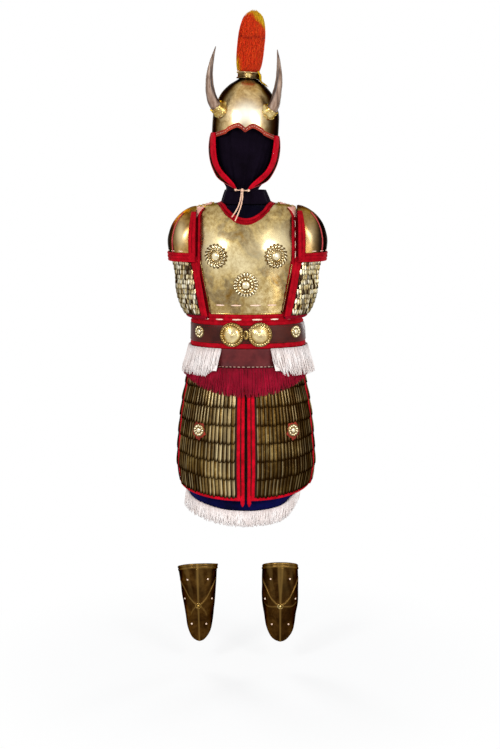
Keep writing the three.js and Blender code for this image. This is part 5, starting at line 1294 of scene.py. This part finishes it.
turns = around(180)
shares = np.concatenate([[-0.09, -0.04], np.linspace(0, 1, 70)])
tt, ss = np.meshgrid(turns, shares)
near = np.where(tt > math.pi, tt - TAU, tt)
pull = near * (1 + 1.1 * np.clip(1 - ss / 0.62, 0, 1))
fold = np.sin(9.5 * pull + 0.8 * np.sin(2.3 * pull + 3 * ss)) + 0.6 * np.sin(19 * pull - 2 * ss)
deep = (0.35 + 1.5 * bell(near, 0, 1.1)) * smooth(0, 0.06, ss) * (1 - smooth(0.62, 0.72, ss))
face = skin("head_cloth", head_surface, turns, shares, -5, fold * deep * 1.15 - 1.0, face_cloth, "head", ["head_form"],
            True, lean=True)
as_sheet(face, 0.58, "gathered", neck)

turns = around(192)
shares = np.concatenate([np.linspace(0, 1, 70), [1.3, 1.7, 2.0]])
tt, ss = np.meshgrid(turns, shares)
lift = dents(tt, ss * 4, 5, 1.4, 0.35) * smooth(0, 0.2, ss) * (ss <= 1)
verts, faces = shell(dome_surface, turns, shares, lift - 2, lift, True)
x, y, z = verts.T
# Painted shade darkens the helmet's sides, the right one sooner, and a painted reflection of the plume darkens it just
# under the ring; the green is a painted highlight just above the brow.
across = x / (helmet_at(helmet_place(np.clip(z, 574, 757)))[:, 1] * HELMET_HALF)
painted_side_shade = np.maximum(smooth(0.4, 0.78, across), smooth(0.5, 0.92, 0.15 * smooth(660, 720, z) - across))
tone = np.clip(1 - 0.97 * painted_side_shade - 0.6 * smooth(736, 757, z), 0, 1)
shade = np.stack([tone, 0.95 * bell(x, 2, 40) * bell(z, 652, 34)], -1)
piece("helmet_dome", verts, faces, helmet_bronze, "head", ["helmet"], shade, lean=True, sharp=40)

us = np.linspace(-math.radians(58), math.radians(58), 90)
skin("brow_band", brow, us, np.linspace(0, 1, 8), -2.8, 0.4, brick_leather, "head", ["brow_trim"], lean=True)
heap = Heap()
for share, size in ((0.06, 1.7), (0.96, 1.5)):
    heap.run(brow, us, share, size, 0.2, 8, 0.8)
heap.make("brow_edges", brick_leather, "head", lean=True)
heap = Heap().stitch(brow, (us[0], 0.52), (us[-1], 0.52), 30, 0.5, 0.6, 0.7)
heap.make("brow_stitches", thread, "head", lean=True)
liner = [lifted(surface, around(120), place_of(z), lift)[0] for surface, place_of, z, lift in (
    (helmet, helmet_place, 636.0, -2.8), (helmet, helmet_place, 668.0, -2.8),
    (head, head_place, 668.0, 0.8), (head, head_place, 636.0, 0.8))]
piece("liner_ring", *loop_body(liner), red_felt, "head", ["helmet_liner"], lean=True, sharp=40)

# ---- Horns and their sockets
COLLAR_FROM, COLLAR_TO = 0.82, 1.62


def horn_tube(way, ts, grown, sides, ripple=0.0, corner=0.0):
    """The horn, and its collar round it, which is grown and has a corner. The right one stands further in."""
    rows = horn_at(ts)
    path, share = rows[:, 1:4], rows[:, 4]
    inward = [10, 14, 21, 19, 15] if way > 0 else [0, 0, -1, -2, -2]
    path[:, 0] -= np.interp(ts, [0, 1.5, 3, 4.5, 6], inward)
    if way > 0:
        path[:, 1] -= 7 * (1 - smooth(1.2, 3.2, ts))
    along = unit(np.gradient(path, axis=0))
    across = unit(np.cross([0.0, 1, 0], along))
    ahead = np.cross(along, across)
    turn = around(sides)
    wide = (share * 18)[:, None] * (1 + ripple * np.cos(5 * turn)[None] + ripple * 0.6 * np.sin(ts * 9)[:, None])
    grown = np.broadcast_to(grown, len(ts))[:, None]
    point = 1 + corner * np.maximum(-np.cos(turn), 0)[None] ** 10 * np.linspace(1, 0, len(ts))[:, None]
    return (path[:, None] + across[:, None] * ((wide * 0.98 + grown) * point * np.cos(turn)[None])[..., None]
            + ahead[:, None] * ((wide + grown) * point * np.sin(turn)[None])[..., None])


def flare(ts):
    return 3.5 + 7 * np.clip(1 - ts / COLLAR_TO, 0, 1) ** 1.1


def streak(turn, middle, width):
    return bell(np.mod(turn, TAU), middle, width)


for side, way in SIDES:
    ts, turn = np.linspace(0.6, 6, 110), around(32)
    ring = horn_tube(way, ts, 0, 32, 0.025)
    faces = sheet_faces(110, 32, True) + [tuple(reversed(range(32))), tuple(range(109 * 32, 110 * 32))]
    t = ts[:, None]
    # The streaks and the darker tip are the horn's own colour; the darkening at its two sides, across it, is painted
    # shade.
    dark = streak(turn - 0.35 * t + 0.4, 3.4, 0.22) * smooth(1.2, 2.2, t)
    dark = dark + 0.8 * streak(turn + 0.2 * t, 4.9, 0.16) * smooth(2.4, 3.4, t)
    tone = np.clip(1 - 0.7 * np.abs(np.cos(turn)) ** 3 - 0.9 * dark - 0.25 * smooth(5, 6, t), 0.05, 1)
    piece(f"horn_{side}_bone", ring, faces, horn_bone, "head", [f"horn_{side}"], tone.reshape(-1), way, True)
    ts = np.linspace(COLLAR_FROM, COLLAR_TO, 20)
    rings = [*horn_tube(way, ts, flare(ts), 40, corner=0.6), *horn_tube(way, ts, 0.5, 40)[::-1]]
    piece(f"horn_collar_{side}", *loop_body(rings), gold_bronze, "head", [f"horn_socket_{side}"], way=way, lean=True,
          sharp=45)
    heap = Heap()
    for at, size in ((1.6, 1.7), (1.42, 1.2), (0.98, 1.8)):
        corner = 0.6 * (COLLAR_TO - at) / (COLLAR_TO - COLLAR_FROM)
        rim = horn_tube(way, at + np.array([-0.01, 0, 0.01]), flare(at), 40, corner=corner)[1]
        heap.add(*tube(rim, size, closed=True), 0.9)
    heap.make(f"horn_collar_rims_{side}", gold_bronze, "head", way=way, lean=True)


# ---- Plume and its socket
PLUME_BASE, PLUME_HIGH, PLUME_HALF, PLUME_DEEP = 777.9, 181, 40, 30
SOCKET = [  # radius and height
    (17, 757.4), (33.5, 757.4), (35, 758.2), (35, 760.4), (33.6, 761.4), (31.5, 762.2), (30.8, 764.5), (31.6, 766.2),
    (31.6, 768.4), (30.8, 770), (31.8, 772.2), (34, 773), (35, 774), (35, 776.4), (33.8, 777.4), (17, 777.4)]


def circle(radius, z, count):
    turn = around(count)
    return points(radius * np.sin(turn), -radius * np.cos(turn), z)


def socket_tab(u, v):
    return points(-7 + 14 * u, -35.4 - 0.4 * np.sin(3 * u), 757.6 + 15 * v + 1.5 * np.sin(3.1 * u))


def plume_point(turn, up, share):
    wide = plume_at(plume_place(up))[..., 1] * share
    return points(wide * PLUME_HALF * np.sin(turn) + 8 * up, -wide * PLUME_DEEP * np.cos(turn),
                  PLUME_BASE + up * PLUME_HIGH)


def yellow_at(turn, up):
    """Yellow over the tip, further down on the right, and at the foot on the left"""
    edge = 0.915 - 0.2 * np.maximum(np.sin(turn), -0.15)
    foot = bell(np.abs(np.mod(turn + 1.3 + math.pi, TAU) - math.pi), 0, 0.34)
    return np.clip(smooth(edge - 0.03, edge + 0.03, up) + 1.5 * (1 - smooth(0.06, 0.3, up)) * foot, 0, 1)


verts, faces = loop_body([circle(r, z, 96) for r, z in SOCKET])
# The ring is darkened as a painted reflection of the red plume, and its part above 771 mm is lighter, with a faint
# painted highlight.
upper = verts[:, 2] > 771
tone = np.stack([0.16 + 0.5 * upper, 0.1 * upper], -1)
piece("plume_ring", verts, faces, helmet_bronze, "head", ["plume_socket"], tone, lean=True, sharp=60)
skin("plume_tab", socket_tab, np.linspace(0, 1, 9), np.linspace(0, 1, 7), -1.5, 0.8, gold_bronze, "head", lean=True)

uu, tt = np.meshgrid(np.linspace(0, 0.985, 50), around(72), indexing="ij")
core = plume_point(tt, uu, 0.86 + 0.03 * np.sin(9 * tt + 5 * uu))
stem = [circle(16, z, 72) for z in (PLUME_BASE - 15.8, PLUME_BASE - 0.3)]
faces = sheet_faces(52, 72, True) + [tuple(reversed(range(72))), tuple(range(51 * 72, 52 * 72))]
# Painted shade: the core under the strands is darker.
tone = np.zeros((52 * 72, 2))
tone[:, 0] = 0.45
tone[2 * 72:, 1] = yellow_at(tt, uu).reshape(-1) * 0.9
piece("plume_core", np.concatenate([stem, core]), faces, plume_hair, "plume", ["plume"], tone, lean=True)
heap = Heap()
t = np.linspace(0, 1, 12)
for k in range(2600):
    turn = rng.uniform(0, TAU)
    start = rng.uniform(0, 0.86) ** 1.15
    end = min(start + rng.uniform(0.12, 0.34), 1.0)
    up = start + (end - start) * t
    twist = turn + 0.22 * rng.normal() * t + 0.05 * np.sin(7 * t + k)
    swell = 0.86 + (0.12 + 0.05 * rng.normal()) * np.sin(math.pi * np.minimum(0.2 + 0.7 * t, 1))
    path = plume_point(twist, up, np.clip(swell, 0.8, 1.02))
    if end > 0.93:
        path[:, 2] += rng.uniform(-6, 1.5) * t
    verts, faces = tube(path, rng.uniform(0.4, 0.9) * (1 - 0.8 * t), 3, 0.8)
    yellow = yellow_at(turn, up + 0.02 * rng.normal())
    # A thin ring of painted shade darkens the strands where a crease runs round the plume; each strand's tone beside it
    # is random.
    crease = 0.55 + 0.015 * math.sin(5 * turn) + 0.008 * math.sin(13 * turn)
    dark = rng.uniform(0.55, 1) * (1 - 0.85 * bell(up, crease, 0.014))
    heap.add(verts, faces, np.repeat(np.stack([dark, yellow], -1), 3, 0))
t = np.linspace(0, 1, 9)
for k in range(90):  # yellow strands that hang behind the helmet's right side
    a = rng.uniform(1.0, 2.3)
    z = 779 - rng.uniform(30, 44) * t
    over = helmet_at(helmet_place(np.minimum(z, 756)))[:, 1] * HELMET_HALF + 2 + rng.uniform(0, 4)
    out = np.maximum(over, 37 + 2 * np.sin(3 * t)) + 3 * t
    path = points(out * np.sin(a + 0.1 * t), -out * np.cos(a + 0.1 * t), z)
    path[:2] = path[:2] * [0.9, 0.9, 1] + [0, 0, 2]
    verts, faces = tube(path, 0.75 * (1 - 0.7 * t), 3)
    heap.add(verts, faces, np.tile([rng.uniform(0.6, 1), 1.0], (len(verts), 1)))
heap.make("plume_strands", plume_hair, "plume", lean=True)


# ---- Cheek guards and the chin tie
def cheek_band(u, v):
    return cheek(np.asarray(u) * (0.41 + 0.08 * np.exp(-np.asarray(v) / 0.8)), v)


us, vs = np.linspace(0, 1, 30), np.linspace(0, 7, 50)
uu, vv = np.meshgrid(us, vs)
lift = dents(uu * 2, vv, 8, 1.2, 0.5)
ups, low = np.linspace(0.1, 6.9, 60), np.linspace(0.02, 1, 20)
for side, way in SIDES:
    rides = f"cheek_{side}"
    skin(f"cheek_shell_{side}", cheek, us, vs, lift - 2, lift, dark_bronze, rides, [f"cheek_plate_{side}"], way=way,
         lean=True)
    skin(f"cheek_band_{side}", cheek_band, np.linspace(-0.01, 1, 12), np.linspace(0.08, 6.9, 60), 0.5, 3.1, red_felt,
         rides, [f"cheek_felt_{side}"], way=way, lean=True)
    heap = Heap().run(cheek, 0.01, ups, 2.6, 0.6, 10, 0.9).run(cheek_band, 0.99, ups, 1.5, 2.4, 8, 0.9, 0.6)
    heap.make(f"cheek_roll_{side}", red_felt, rides, way=way, lean=True)
    edge = np.concatenate([np.stack([low, 0.02 + 0 * low], -1), np.stack([1 + 0 * ups, ups], -1)])
    Heap().run(cheek, *edge.T, 2.3, -0.8, 10, 0.9).make(f"cheek_piping_{side}", pink_cord, rides, way=way, lean=True)

TIP = lifted(cheek, 0.2, 0.0, -1.0)[0]  # the cheek guard's lower end, which the toggle's thong starts from
TIE_HEIGHT = 428.6


def rod(stations):
    """A level rod in front of the chin from its stations: side, radius and rise"""
    path = np.array([(x, TIP[1], TIE_HEIGHT + rise) for x, _, rise in stations])
    return tube(path, [radius for _, radius, _ in stations], 20, 1.0, np.tile([0.0, -1, 0], (len(path), 1)))


def rounded(k, end, power):
    """The profile of a bead that is blunt at its ends"""
    return math.sin(math.pi * min(max(k, end), 1 - end)) ** power


x = TIP[0]
ks = np.linspace(0, 1, 14)
for side, way in SIDES:
    heap = Heap().add(*rod([(6.6 + (x - 10.2) * k, 1.35, -1.2 * math.sin(math.pi * k)) for k in ks]), 0.8)
    heap.add(*rod([(x - 4 + 8 * k, 0.4 + 3.7 * rounded(k, 0.02, 0.5), 0) for k in ks]))
    heap.make(f"toggle_{side}_bead", thong_leather, f"cheek_{side}", nodes=[f"toggle_{side}"], way=way, lean=True)
heap = Heap()
ring = around(28)
for shift, tilt, size in ((-1.6, 0.5, 1.9), (1.8, -0.6, 1.9), (0.2, 0.05, 2.1)):
    path = points(shift + tilt * 2.2 * np.sin(ring), TIP[1] + 3.8 * np.cos(ring), TIE_HEIGHT + 3.9 * np.sin(ring))
    heap.add(*tube(path, size, 10, 0.7, closed=True))
heap.add(*rod([(-5.6 + 11.2 * k, 0.5 + 3.2 * rounded(k, 0.03, 0.6), 0) for k in np.linspace(0, 1, 12)]), 0.7)
heap.make("knot_turns", thong_leather, "cheek_left", nodes=["knot"], lean=True)

# ---- Greaves
GREAVE_HIGH, GREAVE_TOP = 238, -737
RIM = 17 / GREAVE_HIGH  # the rolled top's share
PLAIN = 1 - RIM
ROLL_FOOT = -754
WRAP = math.radians(104)  # how far each half goes round
SIZES = {
    "left": [[0, 0.56], [0.26, 0.62], [0.47, 0.75], [0.68, 0.87], [0.92, 0.98], [1, 1.02]],
    "right": [[0, 0.69], [0.26, 0.75], [0.47, 0.89], [0.68, 0.93], [0.92, 0.925], [1, 0.88]],
}
BOSS = 0.484  # the boss's share of the height
BOSS_HIGH = BOSS * 221 / PLAIN
UPPER = [(0, 0), (14, 7), (30, 20), (48, 40), (66, 60), (84, 74)]  # the swept ribs, from the boss
LOWER = {"left": [(0, 0), (12, -8), (24, -22), (36, -42)], "right": [(0, 0), (20, -5), (44, -12), (66, -12)]}
for side, way in SIDES:
    left = way < 0
    middle = -152 if left else 108
    size_at, size_place = table(SIZES[side])

    def greave(share, up):
        """From the left edge over the shin to the right edge, and from the foot to the rolled top"""
        share, up = np.broadcast_arrays(np.asarray(share, float), np.asarray(up, float))
        foot = -981 + 92 * np.abs(share) ** 1.8
        below = up / PLAIN
        z = np.where(below < 1, foot + (ROLL_FOOT - foot) * below, GREAVE_TOP - (1 - up) * GREAVE_HIGH)
        size = size_at(size_place(1 + (z - GREAVE_TOP) / GREAVE_HIGH))[..., 1]
        size = size * (1 + (0.14 if left else 0.07) * (1 - smooth(-960, -740, z)))
        x, y = section(share * WRAP, size * 61, size * 57, size * 57 * 0.85)
        level = 5 - 25 * (1 - np.cos(share * WRAP)) / 1.24 + (8 + 5 * share if left else 10)
        return points(middle + x + (5 * (1 - up) if left else -1), y, z + level * smooth(0.45, 1, up))

    us = np.linspace(-1, 1, 150)
    vs = np.concatenate([np.linspace(0, PLAIN, 120), np.linspace(PLAIN, 1, 22)[1:]])
    u, v = np.meshgrid(us, vs)
    arc, high = u * 61 * WRAP, v * 221 / PLAIN
    rim = np.clip((v - PLAIN) / RIM, 0, 1)
    roll = 2.0 * np.where(rim > 0, np.abs(np.sin(math.pi * rim * 2)) ** 0.6, 0)
    wide = 2.6 + (0 if left else 5.5 * smooth(0.5, 0.95, v))
    ribs = bell(arc, 0, wide, 4) * 2.3
    if not left:
        ribs -= 1.1 * bell(arc, 0, wide * 0.45, 4) * smooth(0.62, 0.8, v)
    for path, width, tall in ((UPPER, 2.5, 2.3), (LOWER[side], 2.2, 1.5)):
        along, rise = np.array(path, float).T
        line = BOSS_HIGH + np.interp(np.abs(arc), along, rise)
        slope = np.interp(np.abs(arc), along, np.gradient(rise, along))
        swept = tall * bell((high - line) / np.sqrt(1 + slope**2), 0, width, 4)
        ribs = np.maximum(ribs, swept * smooth(-2, 6, along[-1] - np.abs(arc)))
    lift = roll + (dents(u * 1.4, v * 3, 21, 1.6, 0.7) + ribs) * (rim == 0)
    verts, faces = shell(greave, us, vs, -2.2, lift)
    # Painted light: painted shade where the plate turns away at its sides, and a painted highlight in patches over its
    # upper front, on its ribs and on its rolled top.
    painted_highlight = 0.22 * smooth(0.4, 1, v) * np.clip(dents(u * 2.2, v * 2, 31, 2.4, 1.6) + 0.4, 0, 1)
    painted_highlight = painted_highlight * (1 - smooth(0.3, 0.6, np.abs(u))) + ribs * 0.2 + 0.3 * (rim > 0) * lift / 2
    front = np.stack([1 - 0.55 * smooth(0.45, 0.95, np.abs(u)), np.clip(painted_highlight, 0, 0.9)], -1).reshape(-1, 2)
    shade = np.concatenate([front, np.tile([1.0, 0], (u.size, 1))])
    rides = f"greave_{side}"
    piece(f"greave_{side}_plate", verts, faces, dark_bronze, rides, [rides], shade, sharp=55)
    at, n = lifted(greave, 0.0, BOSS, 1.4)
    ring = around(32)
    rim_of_boss = placed(np.stack([8 * np.cos(ring), 8 * np.sin(ring), 0.6 + 0 * ring], -1), at, n)
    heap = Heap().add(*ball(5.2, at, n, 0.9, 24, 8), 0.9).add(*tube(rim_of_boss, 1.5, closed=True), 0.6)
    heap.make(f"greave_{side}_boss", gold_bronze, rides)
    heap = Heap()
    half = 57 * 0.95 if left else 57
    for z, x, reach in ((-783, 30, half), (-838, 44 if left else 47, half), (-915, 24, 44)):
        share = float(side_turn(x, reach)) / WRAP
        foot = -975 + 86 * share**1.3
        up = (z - foot) / (ROLL_FOOT - foot) * PLAIN
        for k in (-1, 1):
            heap.add(*ball(2.9, *lifted(greave, k * share, up, 0.4), 0.55, 14, 5))
    heap.make(f"greave_{side}_rivets", thread, rides)

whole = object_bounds()
plain = lambda b: [[float(x) for x in p] for p in b]
{"cad": plain(cad_box), "whole": plain(whole)}
